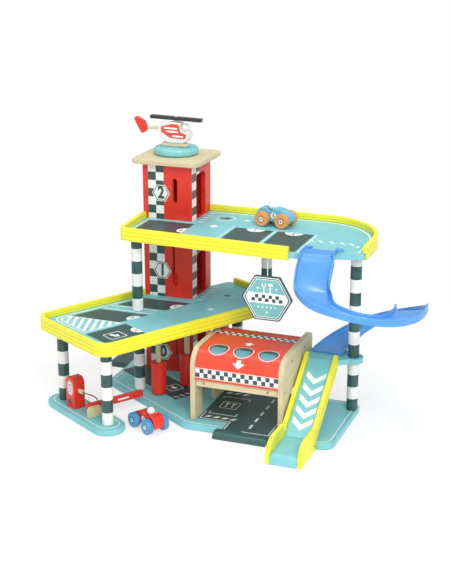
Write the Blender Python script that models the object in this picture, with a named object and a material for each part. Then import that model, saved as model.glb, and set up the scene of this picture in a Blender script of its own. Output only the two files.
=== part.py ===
"""Wooden toy garage with a lift tower, two parking decks, a car wash, a ramp and a spiral slide.

Sizes below are millimetres. The tower's front face is centred on x = 0, y = 0 and the floor is z = 0.
Meshes are made in metres, moved so that the origin is the bottom centre of the whole toy.
"""

import math

import bmesh
import bpy
from mathutils import Vector

MM = 0.001
ORIGIN_X = 155.6
ORIGIN_Y = -81.3
GAP = 0.3

# Board and rail stock
BOARD_T = 8.0
PANEL_T = 8.0
RAIL_W = 6.5
RAIL_ABOVE = 10.0
RAIL_BELOW = 11.0
RAIL_GRIP = 2.5

# Levels
BASE_TOP = 10.0
BASE_LEFT = -81.0
BASE_RIGHT = 349.0
BASE_FRONT = -200.0
BASE_STEP_Y = -23.0
BASE_BACK = 96.0
LOWER_DECK_TOP = 145.2
UPPER_DECK_TOP = 281.0
ROOF_BOTTOM = 374.5
DECK_BOTTOMS = (LOWER_DECK_TOP - BOARD_T, UPPER_DECK_TOP - BOARD_T)

# Tower
TOWER_HALF_W = 44.0
TOWER_D = 84.0
DOOR_FRONT = 19.0
DOOR_BACK = 60.5
DOOR_H = 75.0
DOOR_CORNER_R = 10.0
# Left, right, bottom and top of each slot in the tower's front and back
TOWER_SLOTS = (
    (8.3, 17.8, 309.0, 351.0), (7.1, 12.3, 172.0, 262.0), (7.4, 17.7, 166.0, 187.0), (9.0, 16.0, 32.0, 84.0),
)

# Lower deck is turned 60 degrees: u runs along it and v across it
LOWER_TURN = math.radians(60.0)
LOWER_LEFT_U = -241.0
LOWER_RIGHT_U = 138.0
LOWER_FRONT_V = -152.5
LOWER_BACK_V = 40.4

# Posts, rollers and their dowels
POST_R = 9.0
ROLLER_R = 12.5
ROLLER_BORE_R = 5.2
ROLLER_DOWEL_R = 4.4
ROLLER_BOTTOM = 11.0
ROLLER_TOP = 66.0

# Car wash
WASH_LEFT = 112.0
WASH_RIGHT = 264.7
WASH_FRONT = -181.0
WASH_BACK = -29.5
WASH_TOP = 127.0

# Ramp, run-out and platform
RAMP_LEFT = 268.0
RAMP_RIGHT = 322.0
RAMP_TOP_Y = -78.3
RAMP_TOP_Z = 100.0
RAMP_FOOT_Y = -200.3
RAMP_FOOT_Z = 15.3
PLATFORM_TOP = 101.0
PLATFORM_T = 9.0
SLIDE_POST = (340.0, -52.3)

# Cars
WHEEL_R = 12.2
WHEEL_W = 9.4
WHEELBASE = 36.0
CAR_TRACK = 29.4
AXLE_R = 2.0
CAR_BODY_W = 19.4
HEAD_R = 6.2

# Paint colours, linear
TURQUOISE = (0.16, 0.50, 0.56)
YELLOW = (0.87, 0.80, 0.02)
RED = (0.70, 0.035, 0.025)
WHITE = (0.82, 0.82, 0.80)
SLATE = (0.05, 0.10, 0.11)
PLYWOOD = (0.66, 0.52, 0.32)
BLUE = (0.06, 0.25, 0.72)
WHEEL_BLUE = (0.10, 0.34, 0.62)
SKY = (0.16, 0.48, 0.66)
ORANGE = (0.78, 0.26, 0.06)
BLACK = (0.02, 0.02, 0.022)


# Scene and material helpers

def clear_scene():
    for old in list(bpy.data.objects):
        bpy.data.objects.remove(old, do_unlink=True)


def paint(name, colour, roughness=0.45):
    material = bpy.data.materials.new(name + "_paint")
    material.use_nodes = True
    shader = material.node_tree.nodes["Principled BSDF"]
    shader.inputs["Base Color"].default_value = (*colour, 1.0)
    shader.inputs["Roughness"].default_value = roughness
    return material


def world(point):
    x, y, z = point
    return Vector(((x - ORIGIN_X) * MM, (y - ORIGIN_Y) * MM, z * MM))


def finish_object(name, mesh_builder, colour, pivot=None, smooth=False):
    """Turn a bmesh made in world metres into one object whose origin is the pivot."""
    bmesh.ops.remove_doubles(mesh_builder, verts=mesh_builder.verts, dist=0.000005)
    bmesh.ops.recalc_face_normals(mesh_builder, faces=mesh_builder.faces)
    centre = world(pivot) if pivot else Vector((0.0, 0.0, 0.0))
    bmesh.ops.translate(mesh_builder, verts=mesh_builder.verts, vec=-centre)
    mesh = bpy.data.meshes.new(name)
    mesh_builder.to_mesh(mesh)
    mesh_builder.free()
    obj = bpy.data.objects.new(name, mesh)
    bpy.context.scene.collection.objects.link(obj)
    obj.location = centre
    mesh.materials.append(paint(name, colour))
    if smooth:
        smooth_by_angle(obj)
    return obj


def smooth_by_angle(obj, degrees=35.0):
    obj.data.shade_smooth()
    obj.data.set_sharp_from_angle(angle=math.radians(degrees))


def round_edges(obj, width, segments=2, degrees=50.0):
    bevel = obj.modifiers.new("rounded edges", "BEVEL")
    bevel.width = width * MM
    bevel.segments = segments
    bevel.limit_method = "ANGLE"
    bevel.angle_limit = math.radians(degrees)
    bevel.harden_normals = False
    return bevel


def cut(obj, cutter):
    """Take the cutter's volume away from the object."""
    cutter.hide_render = True
    cutter.display_type = "WIRE"
    tool = obj.modifiers.new("cut " + cutter.name, "BOOLEAN")
    tool.operation = "DIFFERENCE"
    tool.solver = "EXACT"
    tool.object = cutter
    bpy.context.view_layer.update()
    depsgraph = bpy.context.evaluated_depsgraph_get()
    carved = bpy.data.meshes.new_from_object(obj.evaluated_get(depsgraph))
    obj.modifiers.clear()
    old = obj.data
    obj.data = carved
    bpy.data.meshes.remove(old)
    bpy.data.objects.remove(cutter, do_unlink=True)
    return obj


def join_solid(obj, extra):
    """Fuse the extra volume into the object as one closed body."""
    tool = obj.modifiers.new("join " + extra.name, "BOOLEAN")
    tool.operation = "UNION"
    tool.solver = "EXACT"
    tool.object = extra
    bpy.context.view_layer.update()
    depsgraph = bpy.context.evaluated_depsgraph_get()
    fused = bpy.data.meshes.new_from_object(obj.evaluated_get(depsgraph))
    obj.modifiers.clear()
    old = obj.data
    obj.data = fused
    bpy.data.meshes.remove(old)
    bpy.data.objects.remove(extra, do_unlink=True)
    return obj


# Outline helpers, all in millimetres in two dimensions

def rounded(corners, steps=5):
    """Closed outline from (a, b, radius) corners, each rounded by an arc."""
    points = []
    count = len(corners)
    for index, (a, b, radius) in enumerate(corners):
        corner = Vector((a, b))
        if radius <= 0.0:
            points.append((a, b))
            continue
        before = Vector(corners[index - 1][:2])
        after = Vector(corners[(index + 1) % count][:2])
        points.extend(corner_arc(before, corner, after, radius, steps))
    return points


def open_path(corners, steps=6):
    """Open line from (a, b, radius) corners with its inner corners rounded."""
    points = [tuple(corners[0][:2])]
    for index in range(1, len(corners) - 1):
        before = Vector(corners[index - 1][:2])
        corner = Vector(corners[index][:2])
        after = Vector(corners[index + 1][:2])
        points.extend(corner_arc(before, corner, after, corners[index][2], steps))
    points.append(tuple(corners[-1][:2]))
    return points


def corner_arc(before, corner, after, radius, steps):
    into = (before - corner).normalized()
    out = (after - corner).normalized()
    half = 0.5 * math.acos(max(-1.0, min(1.0, into.dot(out))))
    reach = radius / math.tan(half)
    centre = corner + (into + out).normalized() * (radius / math.sin(half))
    start = corner + into * reach - centre
    end = corner + out * reach - centre
    sweep = start.angle_signed(end)
    points = []
    for step in range(steps + 1):
        turn = -sweep * step / steps
        x = start.x * math.cos(turn) - start.y * math.sin(turn)
        y = start.x * math.sin(turn) + start.y * math.cos(turn)
        points.append((centre.x + x, centre.y + y))
    return points


def arc(centre_a, centre_b, radius, start_deg, end_deg, steps):
    points = []
    for step in range(steps + 1):
        turn = math.radians(start_deg + (end_deg - start_deg) * step / steps)
        points.append((centre_a + radius * math.cos(turn), centre_b + radius * math.sin(turn)))
    return points


def turned(u, v):
    """Plan position of a point given along and across the turned lower deck."""
    c, s = math.cos(LOWER_TURN), math.sin(LOWER_TURN)
    return (u * c - v * s, u * s + v * c)


# Solid helpers

def plan_place(z):
    return lambda a, b, depth: (a, b, z + depth)


def front_place(y):
    return lambda a, b, depth: (a, y + depth, b)


def side_place(x):
    return lambda a, b, depth: (x + depth, a, b)


def slab(name, outline, place, depth, colour, pivot=None, smooth=False):
    """Extrude a closed outline by a depth; place turns (a, b, depth) into a position."""
    builder = bmesh.new()
    near = [builder.verts.new(world(place(a, b, 0.0))) for a, b in outline]
    far = [builder.verts.new(world(place(a, b, depth))) for a, b in outline]
    builder.faces.new(near)
    builder.faces.new(list(reversed(far)))
    count = len(outline)
    for index in range(count):
        following = (index + 1) % count
        builder.faces.new((near[index], far[index], far[following], near[following]))
    return finish_object(name, builder, colour, pivot, smooth)


def box(name, low, high, colour, pivot=None):
    outline = [(low[0], low[1]), (high[0], low[1]), (high[0], high[1]), (low[0], high[1])]
    return slab(name, outline, plan_place(low[2]), high[2] - low[2], colour, pivot)


def lathe(name, profile, base, axis, colour, segments=32, pivot=None):
    """Turn a profile of (radius, height) points about an axis; radius 0 closes an end."""
    axis = Vector(axis).normalized()
    helper = Vector((0.0, 0.0, 1.0)) if abs(axis.z) < 0.9 else Vector((1.0, 0.0, 0.0))
    side = axis.cross(helper).normalized()
    other = axis.cross(side)
    base = Vector(base)
    builder = bmesh.new()
    rings = []
    for radius, height in profile:
        centre = base + axis * height
        if radius <= 0.0:
            rings.append([builder.verts.new(world(centre))])
            continue
        ring = []
        for index in range(segments):
            turn = 2.0 * math.pi * index / segments
            offset = side * (radius * math.cos(turn)) + other * (radius * math.sin(turn))
            ring.append(builder.verts.new(world(centre + offset)))
        rings.append(ring)
    closed = profile[0][0] > 0.0
    pairs = list(zip(rings, rings[1:]))
    if closed:
        pairs.append((rings[-1], rings[0]))
    for first, second in pairs:
        bridge_rings(builder, first, second, segments)
    return finish_object(name, builder, colour, pivot, smooth=True)


def bridge_rings(builder, first, second, segments):
    for index in range(segments):
        following = (index + 1) % segments
        if len(first) == 1:
            builder.faces.new((first[0], second[index], second[following]))
        elif len(second) == 1:
            builder.faces.new((first[index], second[0], first[following]))
        else:
            builder.faces.new((first[index], second[index], second[following], first[following]))


def rod(name, start, end, radius, colour, segments=24, pivot=None, rounding=0.6):
    """Solid round bar between two points with slightly rounded ends."""
    axis = Vector(end) - Vector(start)
    length = axis.length
    profile = [(0.0, 0.0), (radius - rounding, 0.0), (radius, rounding)]
    profile += [(radius, length - rounding), (radius - rounding, length), (0.0, length)]
    return lathe(name, profile, start, axis, colour, segments, pivot)


def skin(name, rings, colour, pivot=None, smooth=True):
    """Closed solid through a row of equal rings of positions, capped at both ends."""
    builder = bmesh.new()
    rows = [[builder.verts.new(world(point)) for point in ring] for ring in rings]
    count = len(rows[0])
    for first, second in zip(rows, rows[1:]):
        for index in range(count):
            following = (index + 1) % count
            builder.faces.new((first[index], second[index], second[following], first[following]))
    builder.faces.new(list(reversed(rows[0])))
    builder.faces.new(rows[-1])
    return finish_object(name, builder, colour, pivot, smooth)


def miter_rows(path, offsets):
    """Offset an open plan path to its right by each distance, with mitred corners."""
    rows = []
    for index, point in enumerate(path):
        here = Vector(point)
        ahead = (Vector(path[min(index + 1, len(path) - 1)]) - here)
        behind = (here - Vector(path[max(index - 1, 0)]))
        ahead = ahead.normalized() if ahead.length else behind.normalized()
        behind = behind.normalized() if behind.length else ahead
        normal = Vector((ahead.y, -ahead.x)) + Vector((behind.y, -behind.x))
        normal.normalize()
        scale = 1.0 / normal.dot(Vector((ahead.y, -ahead.x)))
        rows.append([here + normal * (distance * scale) for distance in offsets])
    return rows


def offset_path(path, distance):
    return [tuple(row[0]) for row in miter_rows(path, [distance])]


def rail(name, path, deck_top):
    """Yellow edge rail: its groove grips the board's edge. The path is its outer face."""
    slot_top = deck_top + GAP
    slot_bottom = deck_top - BOARD_T - GAP
    slot_depth = -RAIL_GRIP + GAP
    section = [
        (0.0, deck_top - RAIL_BELOW), (0.0, deck_top + RAIL_ABOVE),
        (-RAIL_W, deck_top + RAIL_ABOVE), (-RAIL_W, slot_top),
        (slot_depth, slot_top), (slot_depth, slot_bottom),
        (-RAIL_W, slot_bottom), (-RAIL_W, deck_top - RAIL_BELOW),
    ]
    rings = []
    for row in miter_rows(path, [distance for distance, height in section]):
        rings.append([(spot.x, spot.y, height) for spot, (_, height) in zip(row, section)])
    return skin(name, rings, YELLOW)


def post(name, spot, bottom, top):
    return rod(name, (*spot, bottom + GAP), (*spot, top - GAP), POST_R, WHITE)


# Base

def build_base():
    outline = rounded([
        (BASE_LEFT, BASE_BACK, 10.0), (BASE_LEFT, -76.0, 8.0), (109.0, BASE_FRONT, 30.0),
        (BASE_RIGHT, BASE_FRONT, 20.0), (BASE_RIGHT, BASE_STEP_Y, 18.0), (150.0, BASE_STEP_Y, 18.0),
        (104.0, BASE_BACK, 10.0),
    ])
    base = slab("base_board", outline, plan_place(0.0), BASE_TOP, TURQUOISE)
    round_edges(base, 2.0)
    axis_a, axis_b = Vector((-113.0, -175.0)), Vector((-2.0, -243.5))
    heading = math.degrees(math.atan2(*(axis_b - axis_a).yx))
    island = arc(axis_b.x, axis_b.y, 27.0, heading - 90.0, heading + 90.0, 14)
    island += arc(axis_a.x, axis_a.y, 27.0, heading + 90.0, heading + 270.0, 14)
    round_edges(slab("pump_island", island, plan_place(0.0), BASE_TOP, TURQUOISE), 2.0)
    lip = [(-194.0, 0.0), (-218.5, 0.0), (-218.5, 1.5)]
    lip += arc(-208.0, -2.4, 12.4, 158.0, 90.0, 4) + [(-194.0, BASE_TOP)]
    join_solid(base, slab("road lip", lip, side_place(163.0), 86.0, SLATE))
    entry = [(-76.0, 0.0), (-76.0, BASE_TOP)]
    entry += arc(-111.0, -5.0, 15.0, 90.0, 155.0, 4) + [(-125.6, 0.0)]
    join_solid(base, slab("lift entry", entry, front_place(6.0), 72.0, SLATE))


# Tower, lift and helipad

def doorway(name, bottom, top, x_low, x_high):
    door = rounded([
        (DOOR_FRONT, bottom, 0.0), (DOOR_BACK, bottom, 0.0),
        (DOOR_BACK, top, DOOR_CORNER_R), (DOOR_FRONT, top, DOOR_CORNER_R),
    ], 4)
    return slab(name, door, side_place(x_low), x_high - x_low, RED)


def slot(name, x_low, x_high, z_low, z_high, y_low, y_high):
    radius = 0.5 * (x_high - x_low)
    centre = 0.5 * (x_low + x_high)
    outline = arc(centre, z_low + radius, radius, 180.0, 360.0, 6)
    outline += arc(centre, z_high - radius, radius, 0.0, 180.0, 6)
    return slab(name, outline, front_place(y_low), y_high - y_low, RED)


def build_tower():
    bottom, top = BASE_TOP + GAP, ROOF_BOTTOM - GAP
    w, d, t = TOWER_HALF_W, TOWER_D, PANEL_T
    front = box("tower_front_panel", (-w, 0.0, bottom), (w, t, top), RED)
    back = box("tower_back_panel", (-w, d - t, bottom), (w, d, top), RED)
    for panel, y in ((front, 0.0), (back, d - t)):
        for low_x, high_x, low_z, high_z in TOWER_SLOTS:
            cut(panel, slot("slot", low_x, high_x, low_z, high_z, y - 2.0, y + t + 2.0))
    left = box("tower_left_panel", (-w, t + GAP, bottom), (-w + t, d - t - GAP, top), RED)
    right = box("tower_right_panel", (w - t, t + GAP, bottom), (w, d - t - GAP, top), RED)
    cut(left, doorway("left door", bottom - 5.0, BASE_TOP + DOOR_H, -w - 2.0, -w + t + 2.0))
    cut(right, doorway("ground door", bottom - 5.0, BASE_TOP + DOOR_H, w - t - 2.0, w + 2.0))
    for label, floor in (("lower door", LOWER_DECK_TOP), ("upper door", UPPER_DECK_TOP)):
        cut(right, doorway(label, floor, floor + DOOR_H, w - t - 2.0, w + 2.0))
    roof = rounded([(-60.5, -16.0, 14.0), (59.5, -16.0, 14.0), (59.5, 104.0, 14.0), (-60.5, 104.0, 14.0)])
    plate = slab("roof_plate", roof, plan_place(ROOF_BOTTOM), BOARD_T, PLYWOOD)
    round_edges(plate, 1.6)
    pin_foot = (*PAD_CENTRE, ROOF_TOP - 3.0)
    join_solid(plate, rod("pad pin", pin_foot, (*PAD_CENTRE, PAD_TOP - 1.5), PAD_PIN_R, PLYWOOD, 16, None, 0.4))


ROOF_TOP = ROOF_BOTTOM + BOARD_T
PAD_CENTRE = (-4.0, 50.0)
PAD_R = 37.5
PAD_BOTTOM = ROOF_TOP + GAP
PAD_TOP = PAD_BOTTOM + 12.0
PAD_BORE_R = 3.2
PAD_PIN_R = 2.8


def build_helipad():
    spot = (*PAD_CENTRE, PAD_BOTTOM)
    edge = 4.5
    height = PAD_TOP - PAD_BOTTOM
    profile = [(PAD_BORE_R, 0.0)]
    profile += [(PAD_R - edge + a, edge + b) for a, b in arc(0.0, 0.0, edge, -90.0, 0.0, 4)]
    profile += [(PAD_R - edge + a, height - edge + b) for a, b in arc(0.0, 0.0, edge, 0.0, 90.0, 4)]
    profile += [(PAD_BORE_R, height)]
    lathe("helipad_turntable", profile, spot, (0.0, 0.0, 1.0), TURQUOISE, 40, spot)


LIFT_HALF_W = 33.5
LIFT_FRONT = 8.4
LIFT_BACK = 75.6
LIFT_FLOOR_T = 4.0
LIFT_WALL_T = 4.0
LIFT_WALL_H = 50.0


def build_lift():
    """Lift car stands at the lower deck: a floor with a wall at its front and its back."""
    floor_top = LOWER_DECK_TOP
    low, high = floor_top - LIFT_FLOOR_T, floor_top + LIFT_WALL_H
    section = rounded([
        (LIFT_FRONT, low, 0.0), (LIFT_BACK, low, 0.0), (LIFT_BACK, high, 1.5),
        (LIFT_BACK - LIFT_WALL_T, high, 1.5), (LIFT_BACK - LIFT_WALL_T, floor_top, 2.0),
        (LIFT_FRONT + LIFT_WALL_T, floor_top, 2.0), (LIFT_FRONT + LIFT_WALL_T, high, 1.5),
        (LIFT_FRONT, high, 1.5),
    ], 3)
    pivot = (0.0, 0.5 * (LIFT_FRONT + LIFT_BACK), floor_top)
    car = slab("lift_car", section, side_place(-LIFT_HALF_W), 2.0 * LIFT_HALF_W, RED, pivot)
    peg_back = (29.5, LIFT_BACK - 1.0, floor_top + 39.5)
    peg_front = (29.5, 45.0, floor_top + 33.0)
    join_solid(car, rod("lift peg", peg_back, peg_front, 2.5, PLYWOOD, 16, None, 0.8))


# Decks

LOWER_BACK_EDGE_V = 1.0


def lower_rail_path():
    start_u = -23.9
    corners = [
        (start_u, LOWER_BACK_V, 0.0), (LOWER_LEFT_U, LOWER_BACK_V, 27.0),
        (LOWER_LEFT_U, LOWER_FRONT_V, 24.0), (LOWER_RIGHT_U, LOWER_FRONT_V, 24.0),
        (LOWER_RIGHT_U, -14.0, 0.0),
    ]
    return [turned(u, v) for u, v in open_path(corners, 7)]


def build_lower_deck():
    grip = RAIL_GRIP
    left, right = LOWER_LEFT_U + grip, LOWER_RIGHT_U - grip
    front, back = LOWER_FRONT_V + grip, LOWER_BACK_V - grip
    tower_x, tower_y = TOWER_HALF_W + GAP, -GAP
    side_meets_tower = (tower_x + LOWER_BACK_EDGE_V * math.sin(LOWER_TURN)) / math.cos(LOWER_TURN)
    back_meets_tower = (tower_y - back * math.cos(LOWER_TURN)) / math.sin(LOWER_TURN)
    outline = [turned(*spot) for spot in (
        open_path([
            (back_meets_tower, back, 0.0), (left, back, 24.5), (left, front, 21.5),
            (right, front, 21.5), (right, LOWER_BACK_EDGE_V, 12.0),
            (side_meets_tower, LOWER_BACK_EDGE_V, 0.0),
        ], 7))]
    outline.append((tower_x, tower_y))
    slab("lower_deck", outline, plan_place(LOWER_DECK_TOP - BOARD_T), BOARD_T, TURQUOISE)
    rail("lower_deck_rail", lower_rail_path(), LOWER_DECK_TOP)


ARC_CENTRE = (251.0, -25.0)
ARC_R = 112.0
UPPER_RAIL_END_X = 251.0


def upper_front_path():
    return open_path([(-45.0, -0.4, 0.0), (-38.9, -110.0, 13.0), (UPPER_RAIL_END_X, -125.4, 0.0)], 7)


def upper_back_path():
    cx, cy = ARC_CENTRE
    path = [(cx + ARC_R, -81.0)]
    path += arc(cx, cy, ARC_R, 0.0, 90.0, 16)
    path.append((TOWER_HALF_W + 0.4, cy + ARC_R))
    return path


def build_upper_deck():
    cx, cy = ARC_CENTRE
    front = offset_path(upper_front_path(), -RAIL_GRIP)
    outline = [(front[0][0], -GAP)] + front[1:]
    outline += rounded([(cx, -121.0, 0.0), (cx + ARC_R - RAIL_GRIP, -92.5, 7.0), (cx + ARC_R - RAIL_GRIP, cy, 0.0)], 4)[1:-1]
    outline += arc(cx, cy, ARC_R - RAIL_GRIP, 0.0, 90.0, 16)
    outline += [(TOWER_HALF_W + GAP, cy + ARC_R - RAIL_GRIP), (TOWER_HALF_W + GAP, -GAP)]
    slab("upper_deck", outline, plan_place(UPPER_DECK_TOP - BOARD_T), BOARD_T, TURQUOISE)
    rail("upper_front_rail", upper_front_path(), UPPER_DECK_TOP)
    rail("upper_back_rail", upper_back_path(), UPPER_DECK_TOP)


def build_posts():
    low, high = DECK_BOTTOMS
    post("island_rear_post", (-113.0, -175.0), BASE_TOP, low)
    post("island_front_post", (-2.0, -243.5), BASE_TOP, low)
    post("base_middle_post", (-15.5, -91.0), BASE_TOP, low)
    post("base_wash_post", (130.8, -18.0), BASE_TOP, low)
    post("deck_middle_post", (-20.5, -82.0), LOWER_DECK_TOP, high)
    post("deck_sign_post", (168.0, 22.0), LOWER_DECK_TOP, high)
    post("slide_lower_post", SLIDE_POST, BASE_TOP, PLATFORM_TOP - PLATFORM_T)
    post("slide_upper_post", SLIDE_POST, PLATFORM_TOP, high)


def build_rollers():
    for side, spot in (("left", (23.0, -100.0)), ("right", (52.0, -47.0))):
        top = DECK_BOTTOMS[0] - GAP
        rod(side + "_roller_dowel", (*spot, BASE_TOP + GAP), (*spot, top), ROLLER_DOWEL_R, PLYWOOD, 20)
        height = ROLLER_TOP - ROLLER_BOTTOM
        profile = [
            (ROLLER_BORE_R, 0.0), (ROLLER_R - 1.0, 0.0), (ROLLER_R, 1.0),
            (ROLLER_R, height - 1.0), (ROLLER_R - 1.0, height), (ROLLER_BORE_R, height),
        ]
        foot = (*spot, ROLLER_BOTTOM)
        lathe(side + "_roller", profile, foot, (0.0, 0.0, 1.0), RED, 28, foot)


# Car wash

def build_car_wash():
    arch_front, arch_back, arch_top = -149.5, -89.0, 66.0
    low = BASE_TOP + GAP
    outline = rounded([
        (WASH_FRONT, low, 0.0), (arch_front, low, 0.0), (arch_front, arch_top, 18.0),
        (arch_back, arch_top, 18.0), (arch_back, low, 0.0), (WASH_BACK, low, 0.0),
        (WASH_BACK, WASH_TOP, 12.0), (WASH_FRONT, WASH_TOP, 29.0),
    ], 7)
    for side, x in (("left", WASH_LEFT), ("right", WASH_RIGHT - PANEL_T)):
        slab("wash_" + side + "_panel", outline, side_place(x), PANEL_T, PLYWOOD)
    inner_left = WASH_LEFT + PANEL_T + GAP
    inner_right = WASH_RIGHT - PANEL_T - GAP
    box("wash_front_bar", (inner_left, -176.0, 66.0), (inner_right, -168.0, 77.3), PLYWOOD)
    box("wash_back_bar", (inner_left, -76.0, 113.0), (inner_right, -60.0, 122.0), PLYWOOD)
    build_wash_cover(inner_left, inner_right)


WASH_COVER_T = 3.0
WASH_CORNER_R = 27.5


def build_wash_cover(left, right):
    """Curved red cover: up the front, round the corner and back over the roof."""
    outer_y, outer_z = WASH_FRONT + 1.5, WASH_TOP - 1.5
    r, t = WASH_CORNER_R, WASH_COVER_T
    centre_y, centre_z = outer_y + r, outer_z - r
    back = -60.0
    outline = [(outer_y, 78.0)] + arc(centre_y, centre_z, r, 180.0, 90.0, 10) + [(back, outer_z)]
    outline += [(back, outer_z - t)] + arc(centre_y, centre_z, r - t, 90.0, 180.0, 10)
    outline += [(outer_y + t, 78.0)]
    cover = slab("wash_cover", outline, side_place(left), right - left, RED)
    smooth_by_angle(cover)


# Ramp, run-out, platform and slide

def build_ramp():
    slope = math.atan2(RAMP_TOP_Z - RAMP_FOOT_Z, RAMP_TOP_Y - RAMP_FOOT_Y)
    rise = 1.0 / math.cos(slope)
    low = BASE_TOP + GAP
    strip(
        "ramp_board", RAMP_LEFT + RAIL_W + GAP, RAMP_RIGHT - RAIL_W - GAP, 0.0, -BOARD_T * rise, low, TURQUOISE
    )
    for side, x in (("left", RAMP_LEFT), ("right", RAMP_RIGHT - RAIL_W)):
        strip("ramp_" + side + "_rail", x, x + RAIL_W, 7.5 * rise, -RAIL_BELOW * rise, low, YELLOW)


def strip(name, x_low, x_high, above, below, floor, colour):
    """Board or rail lying along the ramp, its foot cut level above the base."""
    fall = (RAMP_TOP_Z - RAMP_FOOT_Z) / (RAMP_TOP_Y - RAMP_FOOT_Y)
    level_y = RAMP_FOOT_Y + (floor - RAMP_FOOT_Z - below) / fall
    outline = [
        (RAMP_TOP_Y - GAP, RAMP_TOP_Z + above), (RAMP_FOOT_Y, RAMP_FOOT_Z + above),
        (RAMP_FOOT_Y, floor), (level_y, floor), (RAMP_TOP_Y - GAP, RAMP_TOP_Z + below),
    ]
    return slab(name, outline, side_place(x_low), x_high - x_low, colour)


RUNOUT_BACK = RAMP_FOOT_Y - 0.4
RUNOUT_FRONT = -273.0
CHEEK_T = 6.0
CHEEK_H = 35.0


def build_runout():
    left, right = RAMP_LEFT + CHEEK_T + GAP, 324.0 - CHEEK_T - GAP
    board = [(RUNOUT_BACK, 0.0), (RUNOUT_BACK, 14.8)]
    board += arc(RUNOUT_FRONT + 12.0, 2.8, 12.0, 90.0, 180.0, 6) + [(RUNOUT_FRONT, 0.0)]
    slab("runout_board", board, side_place(left), right - left, TURQUOISE)
    cheek = rounded([
        (RUNOUT_BACK, 0.0, 0.0), (RUNOUT_BACK, CHEEK_H, 2.0),
        (RUNOUT_FRONT, CHEEK_H, 26.0), (RUNOUT_FRONT, 0.0, 0.0),
    ], 8)
    for side, x in (("left", RAMP_LEFT), ("right", 324.0 - CHEEK_T)):
        slab("runout_" + side + "_cheek", cheek, side_place(x), CHEEK_T, YELLOW)


def build_platform():
    x, y = SLIDE_POST
    lobe = 15.5
    outline = [(RAMP_LEFT, -78.0), (RAMP_RIGHT, -78.0)] + arc(x, y, lobe, -100.0, 100.0, 14)
    outline += [(RAMP_RIGHT, -30.0), (RAMP_LEFT, -30.0)]
    slab("slide_platform", outline, plan_place(PLATFORM_TOP - PLATFORM_T), PLATFORM_T, TURQUOISE)


SLIDE_HALF_W = 25.5
SLIDE_WALL_T = 2.6
SLIDE_FLOOR_T = 2.5
SLIDE_SPAN_STEPS = 3
# Middle of the slide's floor, how far its outer side is raised in degrees, and its wall height
SLIDE_UPPER_ROUTE = (
    (296.0, -96.0, 284.3, 0.0, 5.0), (296.0, -119.5, 284.2, 0.0, 5.0), (295.6, -125.5, 281.3, 0.0, 5.5),
    (294.3, -132.5, 272.5, 1.0, 6.5), (292.3, -142.0, 257.5, 3.0, 8.5), (302.0, -157.5, 236.0, 7.0, 9.0),
    (323.0, -168.0, 218.5, 11.0, 9.0),
    (352.0, -169.0, 207.5, 12.0, 9.0), (385.0, -161.0, 200.0, 12.0, 9.0), (412.0, -141.0, 194.5, 10.0, 9.0),
    (427.0, -111.0, 191.0, 8.0, 9.0), (431.0, -80.0, 189.0, 6.0, 9.5), (429.0, -50.0, 187.0, 5.0, 11.0),
)
SLIDE_LOWER_ROUTE = (
    (424.0, -28.0, 179.0, 5.0, 9.0), (412.0, -7.0, 167.0, 4.0, 9.0), (392.0, 9.0, 154.0, 3.0, 9.0),
    (364.0, 17.0, 140.0, 2.0, 9.0), (336.0, 12.0, 126.0, 2.0, 8.5), (315.0, -3.0, 113.0, 2.0, 7.0),
    (303.0, -22.0, 106.0, 1.0, 5.0), (298.0, -44.0, 103.9, 0.0, 3.5), (297.5, -56.0, 103.9, 0.0, 3.0),
)
SLIDE_TABS = (((270.9, -95.0, 286.2), (278.0, -90.0, 285.2)), ((320.2, -95.0, 286.2), (328.0, -90.5, 285.2)))


def smooth_route(points, per_span):
    """Catmull-Rom curve through the points."""
    padded = [Vector(points[0]) * 2 - Vector(points[1])] + [Vector(p) for p in points]
    padded.append(Vector(points[-1]) * 2 - Vector(points[-2]))
    route = []
    for index in range(1, len(padded) - 2):
        a, b, c, d = padded[index - 1:index + 3]
        for step in range(per_span):
            t = step / per_span
            route.append(0.5 * (
                (2 * b) + (c - a) * t + (2 * a - 5 * b + 4 * c - d) * t * t
                + (3 * b - a - 3 * c + d) * t * t * t))
    route.append(padded[-2])
    return route


def slide_rings():
    """Cross-sections of the blue channel along the whole falling and turning route."""
    stations = SLIDE_UPPER_ROUTE + SLIDE_LOWER_ROUTE
    route = smooth_route([station[:3] for station in stations], SLIDE_SPAN_STEPS)
    rings = []
    for index, here in enumerate(route):
        whole, part = divmod(index, SLIDE_SPAN_STEPS)
        following = stations[min(whole + 1, len(stations) - 1)]
        share = part / SLIDE_SPAN_STEPS
        bank = math.radians(stations[whole][3] * (1.0 - share) + following[3] * share)
        wall_height = stations[whole][4] * (1.0 - share) + following[4] * share
        ahead = route[min(index + 1, len(route) - 1)] - route[max(index - 1, 0)]
        inward = Vector((-ahead.y, ahead.x, 0.0)).normalized()
        up = Vector((0.0, 0.0, 1.0))
        across = inward * math.cos(bank) - up * math.sin(bank)
        rise = inward * math.sin(bank) + up * math.cos(bank)
        rings.append([here + across * w + rise * h for w, h in channel_section(wall_height)])
    return rings


def channel_section(wall_height):
    half, wall = SLIDE_HALF_W, SLIDE_WALL_T
    foot = 1.5
    return [
        (-half, -SLIDE_FLOOR_T), (half, -SLIDE_FLOOR_T), (half, wall_height), (half - wall, wall_height),
        (half - wall - 1.0, foot), (half - wall - 3.5, 0.0), (-half + wall + 3.5, 0.0),
        (-half + wall + 1.0, foot), (-half + wall, wall_height), (-half, wall_height),
    ]


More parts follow.
